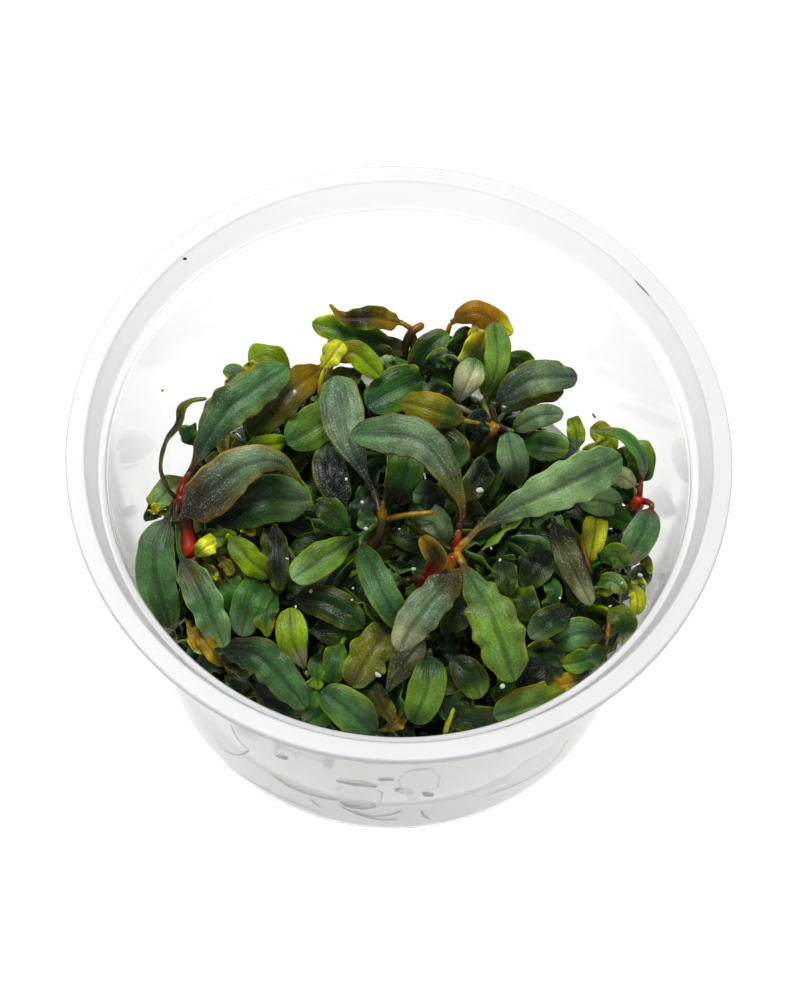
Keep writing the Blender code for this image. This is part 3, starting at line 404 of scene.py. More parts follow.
# Olive threads on the inner wall: radius, points as angle and height
WALL_THREADS = (
    (0.55, ((243.8, 19.9), (248.5, 17.0), (255.1, 16.9), (260.9, 18.3))),
    (0.26, ((253.2, 13.2), (254.4, 11.6), (255.5, 9.9))),
    (0.36, ((260.3, 14.6), (264.1, 11.1), (269.4, 8.5), (274.6, 8.8))),
    (0.28, ((263.2, 12.7), (267.9, 10.3), (272.6, 12.3), (275.1, 15.7))),
    (0.26, ((279.3, 14.2), (280.3, 9.8), (282.2, 7.0))),
    (0.36, ((316.0, 22.3), (314.4, 11.9), (308.5, 10.8), (301.1, 12.9), (294.0, 14.5))),
    (0.28, ((227.9, 18.1), (229.1, 13.2), (234.8, 18.4), (239.6, 28.3))),
    (0.24, ((226.1, 1.5), (237.4, 5.2), (247.8, 6.5), (257.6, 6.0))),
    (0.20, ((235.7, 38.3), (236.7, 30.6), (240.0, 27.0))),
)

# Scraps of dead leaf on the inner wall: width, colours, points as angle and height
WALL_SCRAPS = (
    (3.0, "deep moss deep olive", ((260.3, 30.5), (264.3, 31.3), (269.1, 30.8))),
    (4.4, "deep moss fresh olive", ((260.6, 16.8), (264.2, 16.6), (268.1, 19.3))),
    (2.4, "umber umber night umber", ((273.2, 29.9), (274.8, 27.9), (276.4, 25.7))),
    (1.6, "umber umber umber umber", ((279.3, 26.4), (280.6, 24.0), (281.7, 23.5))),
    (1.6, "umber olive umber umber", ((269.4, 34.8), (270.7, 35.7), (272.4, 35.2))),
    (1.6, "night moss umber umber", ((246.7, 33.8), (248.0, 34.7), (249.3, 36.8))),
)

# Smears of gel dried on the inner wall: angle, half angle, height, half height
WALL_SMEARS = (
    (277.7, 4.5, 32.1, 10.0),
    (265.1, 5.0, 24.4, 6.5),
    (252.6, 8.0, 45.6, 5.0),
    (288.4, 7.0, 47.9, 4.0),
    (304.6, 5.0, 18.6, 9.0),
)

# Pale specks on the leaves, painted glints: small matt lumps where bright points show: length, place
GLINT_SPECKS = (
    (0.65, (-8.8, 4.6, 46.0)), (0.7, (-5.9, 1.1, 44.6)), (0.8, (-5.0, -3.8, 44.4)),
    (0.50, (0.6, -3.7, 44.8)), (0.8, (3.4, -11.3, 45.4)), (0.7, (-18.0, -9.6, 43.2)),
    (0.65, (-16.0, -18.8, 44.0)), (0.8, (-13.7, -14.7, 41.8)), (0.8, (-11.0, -14.4, 41.9)),
    (0.50, (-6.6, -14.5, 43.4)), (0.9, (1.9, -25.4, 45.4)), (1.3, (-1.7, -29.7, 42.4)),
    (0.65, (16.2, -7.7, 47.5)), (1.2, (13.9, 3.5, 46.6)), (0.9, (-3.7, -22.1, 42.6)),
    (0.43, (-6.7, -16.3, 42.6)), (0.9, (19.1, -32.0, 45.6)), (0.8, (-18.3, 18.2, 50.9)),
    (0.50, (28.2, -14.6, 44.0)), (0.9, (39.5, -5.5, 42.6)), (1.0, (41.7, -8.4, 41.6)),
    (0.58, (38.6, -10.4, 42.2)), (0.7, (36.8, -14.4, 41.4)), (0.7, (17.8, -9.1, 46.0)),
)

# Dark dirt on the cup: length, breadth, heading in degrees, place
DIRT = (
    (0.7, 0.60, 0.0, (-37.8, 34.5, 65.90)),
    (4.2, 0.18, -48.0, (39.3, 33.5, 65.88)),
    (1.2, 0.50, -60.0, (33.8, 28.2, 28.71)),
    (0.5, 0.40, 0.0, (-41.2, 20.5, 44.40)),
)


def linear(hex_colour):
    """sRGB hex such as #3c6a58 as linear red, green and blue."""
    channels = [int(hex_colour[i:i + 2], 16) / 255 for i in (1, 3, 5)]
    return [c / 12.92 if c <= 0.04045 else ((c + 0.055) / 1.055) ** 2.4 for c in channels]


def colour_property(name, hex_colour, description):
    return FloatVectorProperty(name=name, description=description, subtype="COLOR", size=3, min=0.0,
                               max=1.0, default=linear(hex_colour))


class LeafColours(bpy.types.PropertyGroup):
    """The colours that leaves, stalks and rhizomes are painted from."""
    teal: colour_property("Teal", "#517e44", "Blade of most mature leaves")
    fresh: colour_property("Fresh green", "#3a7420", "Clear green of healthy leaves")
    green: colour_property("Green", "#6c9330", "Yellowish green of young leaves")
    deep: colour_property("Deep green", "#20400d", "Shaded blades and leaf bases")
    moss: colour_property("Moss green", "#334c07", "Shaded blades that lean to yellow")
    # Night green is partly the colour of old leaves and partly painted shade for leaves deep in the clump
    night: colour_property("Night green", "#081e03", "Old leaves deep in the clump")
    sage: colour_property("Sage", "#91b66f", "Pale blades and margins")
    # Slate is partly the blades' own bluish tone and partly painted sheen
    slate: colour_property("Slate", "#708c62", "Bluish, pearly blades")
    pine: colour_property("Pine", "#2b5240", "Dark blades that lean to blue")
    plum: colour_property("Plum", "#4a3a22", "Dark brownish purple blades")
    steel: colour_property("Steel", "#4a6650", "Greyish blades in half shade")
    lime: colour_property("Lime", "#86a504", "New leaves and thin margins")
    olive: colour_property("Olive", "#7b7b0f", "Ageing blades")
    bronze: colour_property("Bronze", "#5d5b1c", "Brownish purple blades")
    lilac: colour_property("Lilac", "#c6c991", "Pearly purple blades")
    yellow: colour_property("Yellow", "#ffff35", "Fading leaves")
    amber: colour_property("Amber", "#bb9201", "Withering leaves and cut stalks")
    rust: colour_property("Rust", "#b17c08", "Young rolled leaves and stalks")
    red: colour_property("Red", "#8c1006", "Leaf stalks and rhizomes")
    scarlet: colour_property("Scarlet", "#c8300c", "Growing tip at the right wall")
    umber: colour_property("Umber", "#332604", "Old stalks and dead margins")
    pale_root: colour_property("Root", "#b7ab84", "Roots in the gel")


class LeafForm(bpy.types.PropertyGroup):
    """Sizes of the blades and of the detail on them."""
    thickness: FloatProperty(name="Blade thickness", description="Thickness of a main leaf", unit="LENGTH",
                             default=0.42 * MM, min=0.1 * MM)
    small_thickness: FloatProperty(name="Small blade thickness", description="Thickness of a small leaf",
                                   unit="LENGTH", default=0.35 * MM, min=0.1 * MM)
    pearl_size: FloatProperty(name="Pearl size", description="Size of the pale grains on the leaf skin",
                              unit="LENGTH", default=0.26 * MM, min=0.05 * MM)
    tufts: IntProperty(name="Tufts", description="Tufts of small leaves in each quarter of the mound",
                       default=27, min=1, max=80)
    side_leaves: IntProperty(name="Side leaves", default=36, min=1, max=300,
                             description="Leaves on the side of each quarter of the mound")


class CupFinish(bpy.types.PropertyGroup):
    """The plastic and the gel."""
    plastic: colour_property("Plastic", "#fbfbfc", "Tint of the clear plastic")
    gel: colour_property("Gel", "#eef1e2", "Tint of the culture gel")
    dried_gel: colour_property("Dried gel", "#f3f5f1", "Tint of the smears on the wall")
    segments: IntProperty(name="Segments", description="Faces round the cup", default=144, min=24, max=256)
    edge_rounding: FloatProperty(name="Edge rounding", description="Radius on the rim's edges", unit="LENGTH",
                                 default=0.32 * MM, min=0.05 * MM)


class StageLook(bpy.types.PropertyGroup):
    """Floor, light and camera."""
    floor: colour_property("Floor", "#a0a0a0", "Pale floor")
    sky: FloatProperty(name="Sky", description="Brightness of the even light from all round", default=0.34)
    softbox: FloatProperty(name="Softbox", description="Power of the light overhead, in watts", default=3.9)
    glow: FloatProperty(name="Glow", description="Light that comes up through the floor, as on a light table",
                        default=1.0)
    lens: FloatProperty(name="Lens", description="Focal length of the camera, in millimetres", default=149.5)


def set_inputs(tree, node, values):
    """Sets a node's inputs, or links them. A node among the values stands for its first output."""
    for key, value in values.items():
        if isinstance(value, bpy.types.Node):
            value = value.outputs[0]
        if isinstance(value, bpy.types.NodeSocket):
            tree.links.new(value, node.inputs[key])
        else:
            node.inputs[key].default_value = value


def add_node(tree, kind, settings=None, values=None):
    """Adds a shader node of a kind such as Bump, sets its properties, and sets or links its inputs."""
    node = tree.nodes.new("ShaderNode" + kind)
    for key, value in (settings or {}).items():
        setattr(node, key, value)
    set_inputs(tree, node, values or {})
    return node


def new_material(name):
    """A new material with its node tree and its shader."""
    material = bpy.data.materials.new(name)
    material.use_nodes = True
    tree = material.node_tree
    return material, tree, tree.nodes["Principled BSDF"]


def leaf_skin(name, form):
    """Leaf skin of an aquatic aroid: smooth cuticle over a green blade. It looks satin, with a faint midrib
    beside painted shade in its groove, veins that run lengthwise, a thin light margin, and pearly grains on
    some leaves, which also paint glints and sheen onto the blade."""
    material, tree, shader = new_material(name)
    tint = add_node(tree, "Attribute", {"attribute_name": "tint"})
    margin = add_node(tree, "Attribute", {"attribute_name": "margin"})
    place = add_node(tree, "TexCoord")
    uv = add_node(tree, "SeparateXYZ", values={0: place.outputs["UV"]})
    centred = add_node(tree, "Math", {"operation": "MULTIPLY_ADD"}, {0: uv.outputs["Y"], 1: 2.0, 2: -1.0})
    across = add_node(tree, "Math", {"operation": "ABSOLUTE"}, {0: centred})
    along = uv.outputs["X"]

    # Broad patches of lighter and darker green, about 6 mm across
    patches = add_node(tree, "TexNoise",
                       values={"Vector": place.outputs["Object"], "Scale": 1 / (6 * MM), "Detail": 3.0})
    patch_tone = add_node(tree, "MapRange", values={0: patches, 1: 0.3, 2: 0.7, 3: 0.5, 4: 1.38})
    # Streaks that follow the blade, shifted along the cup so that no two leaves are alike
    ground = add_node(tree, "SeparateXYZ", values={0: place.outputs["Object"]})
    streak_along = add_node(tree, "Math", {"operation": "MULTIPLY"}, {0: along, 1: 6.0})
    streak_across = add_node(tree, "Math", {"operation": "MULTIPLY"}, {0: uv.outputs["Y"], 1: 8.0})
    streak_shift = add_node(tree, "Math", {"operation": "MULTIPLY"},
                            {0: ground.outputs["X"], 1: 1 / (8 * MM)})
    streak_place = add_node(tree, "CombineXYZ", values={0: streak_along, 1: streak_across, 2: streak_shift})
    streaks = add_node(tree, "TexNoise",
                       values={"Vector": streak_place, "Scale": 1.0, "Detail": 5.0, "Roughness": 0.62})
    streak_tone = add_node(tree, "MapRange", values={0: streaks, 1: 0.32, 2: 0.68, 3: 0.8, 4: 1.22})
    # Veins along the blade: about six on each side of the midrib, a little uneven
    wobble = add_node(tree, "Math", {"operation": "MULTIPLY_ADD"}, {0: patches, 1: 0.25, 2: across})
    vein_phase = add_node(tree, "Math", {"operation": "MULTIPLY"}, {0: wobble, 1: 38.0})
    vein_wave = add_node(tree, "Math", {"operation": "SINE"}, {0: vein_phase})
    vein_tone = add_node(tree, "Math", {"operation": "MULTIPLY_ADD"}, {0: vein_wave, 1: 0.05, 2: 1.0})
    # Grains of the skin, drawn as coarse as they need to be to show
    grains = add_node(tree, "TexNoise",
                      values={"Vector": place.outputs["Object"], "Scale": 1 / form.pearl_size, "Detail": 1.0})
    grain_tone = add_node(tree, "MapRange", values={0: grains, 1: 0.3, 2: 0.7, 3: 0.8, 4: 1.22})
    tone = patch_tone
    for part in (vein_tone, grain_tone, streak_tone):
        tone = add_node(tree, "Math", {"operation": "MULTIPLY"}, {0: tone, 1: part})
    toned = add_node(tree, "VectorMath", {"operation": "SCALE"}, {0: tint.outputs["Color"], "Scale": tone})
    # Pearly grains and painted glints: pale blue-grey points on the raised part of the noise, with painted
    # sheen most where the streaks are light
    pearl_glint_spots = add_node(tree, "MapRange", values={0: grains, 1: 0.55, 2: 0.68, 3: 0.06, 4: 0.9})
    pearl_and_glint = add_node(tree, "Math", {"operation": "MULTIPLY"}, {0: pearl_glint_spots, 1: tint.outputs["Alpha"]})
    sheen = add_node(tree, "MapRange", values={0: streaks, 1: 0.45, 2: 0.68, 3: 0.1, 4: 1.0})
    pearl_and_glint = add_node(tree, "Math", {"operation": "MULTIPLY"}, {0: pearl_and_glint, 1: sheen})
    pearl_glinted = add_node(tree, "Mix", {"data_type": "RGBA"},
                       {"Factor": pearl_and_glint, 6: toned, 7: (*linear("#bccad0"), 1.0)})
    # Midrib: a narrow light line that fades towards the tip, beside painted shade that darkens the groove
    # along it
    rib = add_node(tree, "MapRange", {"interpolation_type": "SMOOTHSTEP"},
                   {0: across, 1: 0.02, 2: 0.07, 3: 1.0, 4: 0.0})
    rib_fade = add_node(tree, "MapRange", values={0: along, 1: 0.5, 2: 0.95, 3: 0.16, 4: 0.0})
    rib_mask = add_node(tree, "Math", {"operation": "MULTIPLY"}, {0: rib, 1: rib_fade})
    ribbed = add_node(tree, "Mix", {"data_type": "RGBA"},
                      {"Factor": rib_mask, 6: pearl_glinted.outputs[2], 7: (*linear("#71805a"), 1.0)})
    # Painted shade: the sunken band beside the midrib is darkened
    groove_shade = add_node(tree, "MapRange", {"interpolation_type": "SMOOTHSTEP"},
                      {0: across, 1: 0.07, 2: 0.18, 3: 0.42, 4: 0.0})
    groove_shaded = add_node(tree, "Mix", {"data_type": "RGBA"},
                       {"Factor": groove_shade, 6: ribbed.outputs[2], 7: (*linear("#08140b"), 1.0)})
    # Thin light margin, uneven with the streaks
    edge = add_node(tree, "MapRange", {"interpolation_type": "SMOOTHSTEP"},
                    {0: across, 1: 0.92, 2: 0.99, 3: 0.0, 4: 0.8})
    edge_uneven = add_node(tree, "Math", {"operation": "MULTIPLY", "use_clamp": True},
                           {0: edge, 1: streak_tone})
    edged = add_node(tree, "Mix", {"data_type": "RGBA"},
                     {"Factor": edge_uneven, 6: groove_shaded.outputs[2], 7: margin.outputs["Color"]})
    # The cuticle's gloss is uneven over the same patches
    gloss = add_node(tree, "MapRange", values={0: patches, 1: 0.3, 2: 0.7, 3: 0.2, 4: 0.36})
    relief = add_node(tree, "Math", {"operation": "MULTIPLY_ADD"}, {0: vein_wave, 1: 0.12, 2: grains})
    bump = add_node(tree, "Bump", values={"Strength": 0.6, "Distance": 0.14 * MM, "Height": relief})
    set_inputs(tree, shader, {"Base Color": edged.outputs[2], "Roughness": gloss, "IOR": TISSUE_IOR,
                              "Specular IOR Level": 0.28, "Normal": bump})
    return material


def stem_skin(name):
    """Rhizome and stalk skin: smooth, wet and fleshy, blotched by the scars of old leaves."""
    material, tree, shader = new_material(name)
    tint = add_node(tree, "Attribute", {"attribute_name": "tint"})
    place = add_node(tree, "TexCoord")
    blotch = add_node(tree, "TexNoise",
                      values={"Vector": place.outputs["Object"], "Scale": 1 / (0.9 * MM), "Detail": 3.0})
    tone = add_node(tree, "MapRange", values={0: blotch, 1: 0.3, 2: 0.7, 3: 0.6, 4: 1.35})
    toned = add_node(tree, "VectorMath", {"operation": "SCALE"}, {0: tint.outputs["Color"], "Scale": tone})
    bump = add_node(tree, "Bump", values={"Strength": 0.4, "Distance": 0.15 * MM, "Height": blotch})
    set_inputs(tree, shader, {"Base Color": toned, "Roughness": 0.3, "IOR": TISSUE_IOR, "Normal": bump})
    return material


def clear_plastic(name, finish):
    """Polypropylene, thermoformed: clear and glossy, a little cloudy, with a milky rim and ledge."""
    material, tree, shader = new_material(name)
    place = add_node(tree, "TexCoord")
    haze = add_node(tree, "TexNoise",
                    values={"Vector": place.outputs["Object"], "Scale": 1 / (14 * MM), "Detail": 3.0})
    cloud = add_node(tree, "MapRange", values={0: haze, 1: 0.3, 2: 0.7, 3: 0.97, 4: 1.0})
    tinted = add_node(tree, "VectorMath", {"operation": "SCALE"}, {0: tuple(finish.plastic), "Scale": cloud})
    gloss = add_node(tree, "MapRange", values={0: haze, 1: 0.3, 2: 0.7, 3: 0.03, 4: 0.08})
    # The rim and ledge are milky, their flat faces most of all: drawing the wall thin has cleared it
    ground = add_node(tree, "SeparateXYZ", values={0: place.outputs["Object"]})
    milky = add_node(tree, "MapRange", {"interpolation_type": "SMOOTHSTEP"},
                     {0: ground.outputs["Z"], 1: (LEDGE_HEIGHT - 2.0) * MM, 2: (LEDGE_HEIGHT + 1.0) * MM})
    roughness = add_node(tree, "MapRange", values={0: milky, 3: gloss.outputs[0], 4: 0.45})
    facing = add_node(tree, "NewGeometry")
    upright = add_node(tree, "SeparateXYZ", values={0: facing.outputs["Normal"]})
    level = add_node(tree, "Math", {"operation": "ABSOLUTE"}, {0: upright.outputs["Z"]})
    flat = add_node(tree, "MapRange", values={0: level, 1: 0.6, 2: 0.95, 3: 0.88, 4: 0.2})
    clearness = add_node(tree, "MapRange", values={0: milky, 3: 0.95, 4: flat})
    set_inputs(tree, shader, {"Base Color": tinted, "Roughness": roughness, "Transmission Weight": clearness,
                              "IOR": PLASTIC_IOR})
    return material


def culture_gel(name, finish):
    """Agar gel, poured and set: translucent and moist, with a slightly wavy surface."""
    material, tree, shader = new_material(name)
    place = add_node(tree, "TexCoord")
    cloud = add_node(tree, "TexNoise",
                     values={"Vector": place.outputs["Object"], "Scale": 1 / (9 * MM), "Detail": 4.0})
    tone = add_node(tree, "MapRange", values={0: cloud, 1: 0.3, 2: 0.7, 3: 0.93, 4: 1.0})
    tinted = add_node(tree, "VectorMath", {"operation": "SCALE"}, {0: tuple(finish.gel), "Scale": tone})
    bump = add_node(tree, "Bump", values={"Strength": 0.3, "Distance": 0.6 * MM, "Height": cloud})
    set_inputs(tree, shader, {"Base Color": tinted, "Roughness": 0.2, "IOR": GEL_IOR,
                              "Transmission Weight": 0.7, "Normal": bump})
    return material


def dried_gel(name, finish):
    """Gel dried on the plastic: a thin greyish film, cloudy in patches."""
    material, tree, shader = new_material(name)
    place = add_node(tree, "TexCoord")
    cloud = add_node(tree, "TexNoise",
                     values={"Vector": place.outputs["Object"], "Scale": 1 / (3 * MM), "Detail": 3.0})
    tone = add_node(tree, "MapRange", values={0: cloud, 1: 0.3, 2: 0.7, 3: 0.9, 4: 1.0})
    tinted = add_node(tree, "VectorMath", {"operation": "SCALE"}, {0: tuple(finish.dried_gel), "Scale": tone})
    set_inputs(tree, shader, {"Base Color": tinted, "Roughness": 0.15, "IOR": GEL_IOR,
                              "Transmission Weight": 0.96})
    return material


def dirt_and_painted_glints(name, hex_colour):
    """Matt, with a mottled tone: dry dirt, and pale specks that are painted glints."""
    material, tree, shader = new_material(name)
    place = add_node(tree, "TexCoord")
    mottle = add_node(tree, "TexNoise", values={"Vector": place.outputs["Object"], "Scale": 1 / (0.4 * MM)})
    tone = add_node(tree, "MapRange", values={0: mottle, 1: 0.3, 2: 0.7, 3: 0.8, 4: 1.0})
    tinted = add_node(tree, "VectorMath", {"operation": "SCALE"}, {0: linear(hex_colour), "Scale": tone})
    set_inputs(tree, shader, {"Base Color": tinted, "Roughness": 0.7})
    return material


def shared_material(name, make, *args):
    """The material of this name, made the first time a piece asks for it."""
    return bpy.data.materials.get(name) or make(name, *args)


def shared_leaf_skin():
    return shared_material("leaf skin, satin cuticle", leaf_skin, bpy.context.scene.plant_leaf_form)


def shared_stem_skin():
    return shared_material("rhizome skin, fleshy", stem_skin)


def new_plant_mesh():
    """An empty mesh, and the attributes that the leaf and stem skins read."""
    bm = bmesh.new()
    return bm, {
        "uv": bm.loops.layers.uv.new("UVMap"),
        "tint": bm.verts.layers.float_color.new("tint"),
        "margin": bm.verts.layers.float_color.new("margin"),
    }


def finish_piece(name, bm, material, nodes=(), thickness=0.0, smoothing=0, crease=0.0):
    """Turns a mesh in millimetres into a piece in metres that rides on the root body."""
    bmesh.ops.transform(bm, matrix=Matrix.Scale(MM, 4), verts=bm.verts)
    mesh = bpy.data.meshes.new(name)
    bm.to_mesh(mesh)
    bm.free()
    mesh.shade_smooth()
    if crease:
        mesh.set_sharp_from_angle(angle=math.radians(crease))
    mesh.materials.append(material)
    piece = bpy.data.objects.new(name, mesh)
    bpy.context.scene.collection.objects.link(piece)
    if thickness:
        wall = piece.modifiers.new("Blade thickness", "SOLIDIFY")
        wall.thickness = thickness
        wall.offset = 0.0
        wall.use_even_offset = False
    if smoothing:
        round_off = piece.modifiers.new("Smooth blade", "SUBSURF")
        round_off.levels = smoothing
        round_off.render_levels = smoothing
    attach(piece, "root")
    if nodes:
        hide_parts(*nodes)


def blend(a, b, share):
    """The colour at a share of the way from a to b."""
    share = min(1.0, max(0.0, share))
    return [x + (y - x) * share for x, y in zip(a, b)]


def ease(low, high, value):
    """Rises smoothly from 0 at low to 1 at high."""
    t = min(1.0, max(0.0, (value - low) / (high - low)))
    return t * t * (3 - 2 * t)


def spine(points, shares):
    """Places at shares of the length of a smooth curve through the points, with their tangents."""
    knots = [Vector(p) for p in points]
    knots = [2 * knots[0] - knots[1]] + knots + [2 * knots[-1] - knots[-2]]
    fine = []
    for a, b, c, d in zip(knots, knots[1:], knots[2:], knots[3:]):
        for step in range(16):
            t = step / 16
            fine.append(0.5 * (2 * b + (c - a) * t + (2 * a - 5 * b + 4 * c - d) * t ** 2
                               + (3 * b - a - 3 * c + d) * t ** 3))
    fine.append(knots[-2])
    run = [0.0]
    for a, b in zip(fine, fine[1:]):
        run.append(run[-1] + (b - a).length)
    places, k = [], 1
    for share in shares:
        goal = share * run[-1]
        while k < len(run) - 1 and run[k] < goal - 1e-9:
            k += 1
        local = (goal - run[k - 1]) / (run[k] - run[k - 1])
        tangent = (fine[min(k + 1, len(fine) - 1)] - fine[max(k - 2, 0)]).normalized()
        places.append((fine[k - 1].lerp(fine[k], local), tangent))
    return places, run[-1]


def half_width(share, width, widest):
    """Half the blade's width at a share of its length.

    A blade that is widest past its middle has a wedge-shaped base, others are straps. One that is widest
    near its base has a slender tip.
    """
    blade = max(0.0, (share - STALK_SHARE) / (1.0 - STALK_SHARE))
    swell = abs(math.sin(math.pi * blade ** (math.log(0.5) / math.log(widest)))) if blade else 0.0
    base_power = WEDGE_TAPER if widest > WEDGE_FROM else STRAP_TAPER
    tip_power = TIP_SLENDER if widest < SLENDER_BELOW else TIP_BLUNTNESS
    swell = 0.5 * width * swell ** (base_power if blade < widest else tip_power)
    stalk = STALK_HALF_WIDTH - (STALK_HALF_WIDTH - RIB_HALF_WIDTH) * blade
    return (swell ** 3 + stalk ** 3) ** (1 / 3)


def add_leaf(bm, layers, points, colours, grid, width, widest=0.5, fold=0.1, wave=0.1, pearl_and_glint=0.1, phase=0.0,
             hub=None, upward=UPWARD, curl=0.0):
    """A blade: a flat grid moved onto its spine, folded at the midrib and waved at the margins.

    colours holds those of the stalk, base, middle, tip and margin. grid is the number of faces along and
    across. phase sets one leaf's waves and tones apart from the next one's. hub is a place that the blade
    arches over, and without one its face is turned to upward. curl twists it more.
    """
    stalk, base, middle, tip, margin = colours
    stations, across = grid
    verts = bmesh.ops.create_grid(bm, x_segments=stations, y_segments=across, size=0.5)["verts"]
    for face in {face for vert in verts for face in vert.link_faces}:
        for loop in face.loops:
            loop[layers["uv"]].uv = (loop.vert.co.x + 0.5, loop.vert.co.y + 0.5)
    places, length = spine(points, [i / stations for i in range(stations + 1)])
    ripples = max(2.0, length / RIPPLE_LENGTH)
    for vert in verts:
        station = round((vert.co.x + 0.5) * stations)
        s, a = station / stations, vert.co.y / 0.5
        side_sign = 1.0 if a > 0 else -1.0
        place, tangent = places[station]
        out = place - Vector(hub) if hub else upward
        side = tangent.cross(out).normalized()
        normal = side.cross(tangent)
        reach = half_width(s, width, widest)
        blade = ease(STALK_SHARE, 0.4, s) * (1.0 - 0.5 * ease(0.85, 1.0, s))
        ripple = math.sin(math.tau * ripples * s + phase + side_sign * 1.1)
        ripple += RIPPLE_WEAKER * math.sin(math.tau * ripples * RIPPLE_RATIO * s + 2.3 * phase + side_sign)
        lift = fold * reach * (a * a + 0.02) ** 0.5 + 1.3 * wave * blade * ripple * abs(a) ** 2.5
        # The halves bulge between the sunken midrib and the margins
        lift += 0.16 * reach * blade * math.sin(math.pi * min(1.0, abs(a) * 1.15)) ** 2
        uneven = noise.noise(Vector((3.5 * s, 3.0 * side_sign, phase)))
        reach *= 1.0 + 0.16 * wave * ripple + 0.14 * uneven * blade
        bend = 0.35 * noise.noise(place * 0.16 + Vector((phase, 0, 0))) * blade
        twist = (0.3 + curl) * math.sin(2.9 * phase) * (s - 0.3)
        side, normal = (side * math.cos(twist) + normal * math.sin(twist),
                        normal * math.cos(twist) - side * math.sin(twist))
        vert.co = place + side * a * reach + normal * (lift + bend)
        tone = blend(stalk, base, ease(0.06, 0.2, s))
        tone = blend(tone, middle, ease(0.2, 0.5, s))
        tone = blend(tone, tip, ease(0.62, 0.97, s))
        # Blade colour shifts a little towards the margin's colour, in uneven patches
        patch = 0.5 + 0.5 * noise.noise(vert.co * 0.3 + Vector((0, phase, 0)))
        tone = blend(tone, margin, 0.7 * ease(0.4, 1.0, abs(a)) * patch)
        # Uneven tone, with painted shade that darkens the blade towards its base
        tone_and_painted_shade = 0.85 + 0.3 * noise.noise(vert.co * 0.22 + Vector((phase, phase, 0)))
        tone_and_painted_shade *= 0.55 + 0.45 * ease(0.12, 0.6, s)
        vert[layers["tint"]] = (*[c * tone_and_painted_shade for c in tone], pearl_and_glint)
        vert[layers["margin"]] = (*blend(stalk, margin, ease(0.1, 0.3, s)), 1.0)


def add_tube(bm, layers, points, radius, colours, around=8, rings=10, taper=0.25):
    """A stalk: a flat grid rolled round its spine, with closed, rounded ends."""
    verts = bmesh.ops.create_grid(bm, x_segments=rings, y_segments=around, size=0.5)["verts"]
    places, _ = spine(points, [i / rings for i in range(rings + 1)])
    for vert in verts:
        ring = round((vert.co.x + 0.5) * rings)
        turn = math.tau * (vert.co.y + 0.5)
        s = ring / rings
        place, tangent = places[ring]
        side = tangent.cross(UPWARD if abs(tangent.dot(UPWARD)) < 0.95 else Vector((1, 0, 0))).normalized()
        normal = side.cross(tangent)
        girth = radius * (1.0 - taper * s) * (1.0 + 0.12 * noise.noise(place * 0.9))
        if ring in (0, rings):
            girth = 0.0
        elif ring in (1, rings - 1):
            girth *= 0.92
        vert.co = place + (side * math.cos(turn) + normal * math.sin(turn)) * girth
        vert[layers["tint"]] = (*mix_along(colours, s), 0.0)
        vert[layers["margin"]] = vert[layers["tint"]]
    bmesh.ops.remove_doubles(bm, verts=verts, dist=0.0005)


def mix_along(colours, share):
    """The colour at a share of the way through a list of colours."""
    place = share * (len(colours) - 1)
    k = min(int(place), len(colours) - 2)
    return blend(colours[k], colours[k + 1], place - k)


def palette(words):
    """The colours that a row names, as lists."""
    colours = bpy.context.scene.plant_leaf_colours
    return [list(getattr(colours, word)) for word in words.split()]


def small_palette(words):
    """The colours of a small leaf, whose stalk is coloured like its base."""
    base, middle, tip, margin = palette(words)
    return base, base, middle, tip, margin


def wall_radius(height):
    """Outer radius of the tapered wall at a height."""
    return BASE_RADIUS + (LEDGE_INNER_RADIUS + WALL - BASE_RADIUS) * height / LEDGE_HEIGHT


def inside_wall(angle, height, gap):
    """A place a gap away from the inner wall, at an angle in degrees and a height."""
    reach = wall_radius(height) - WALL - gap
    return Vector((math.cos(math.radians(angle)) * reach, math.sin(math.radians(angle)) * reach, height))


def mound_height(x, y):
    """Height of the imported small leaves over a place, as in the solid model."""
    far = math.hypot(x / MOUND_REACH_X, (y - MOUND_SHIFT) / MOUND_REACH_Y)
    lumps = math.sin(0.83 * x + 0.7) * math.cos(0.71 * y) + math.sin(0.37 * (x - y) + 1.9)
    return MOUND_TOP + MOUND_TILT * y - MOUND_FALL * far ** 3 + MOUND_LUMP * lumps


def rooted(place):
    """A place inside the mound, below and a little nearer the middle of the cup."""
    x, y = place.x * 0.94, (place.y - MOUND_SHIFT) * 0.9 + MOUND_SHIFT
    return Vector((x, y, min(place.z - 2.5, mound_height(x, y) - 1.5)))


def guarded(outline):
    """The outline with a point near both ends of each long side, so that flats stay flat when smoothed."""
    points = [Vector(outline[0])]
    for a, b in zip(outline, outline[1:]):
        a, b = Vector(a), Vector(b)
        run = (b - a).length
        if run > 4 * GUARD:
            parts = max(1, round(run / 12.0))
            shares = [GUARD / run] + [k / parts for k in range(1, parts)] + [1.0 - GUARD / run]
            points += [a.lerp(b, share) for share in shares]
        points.append(b)
    return points


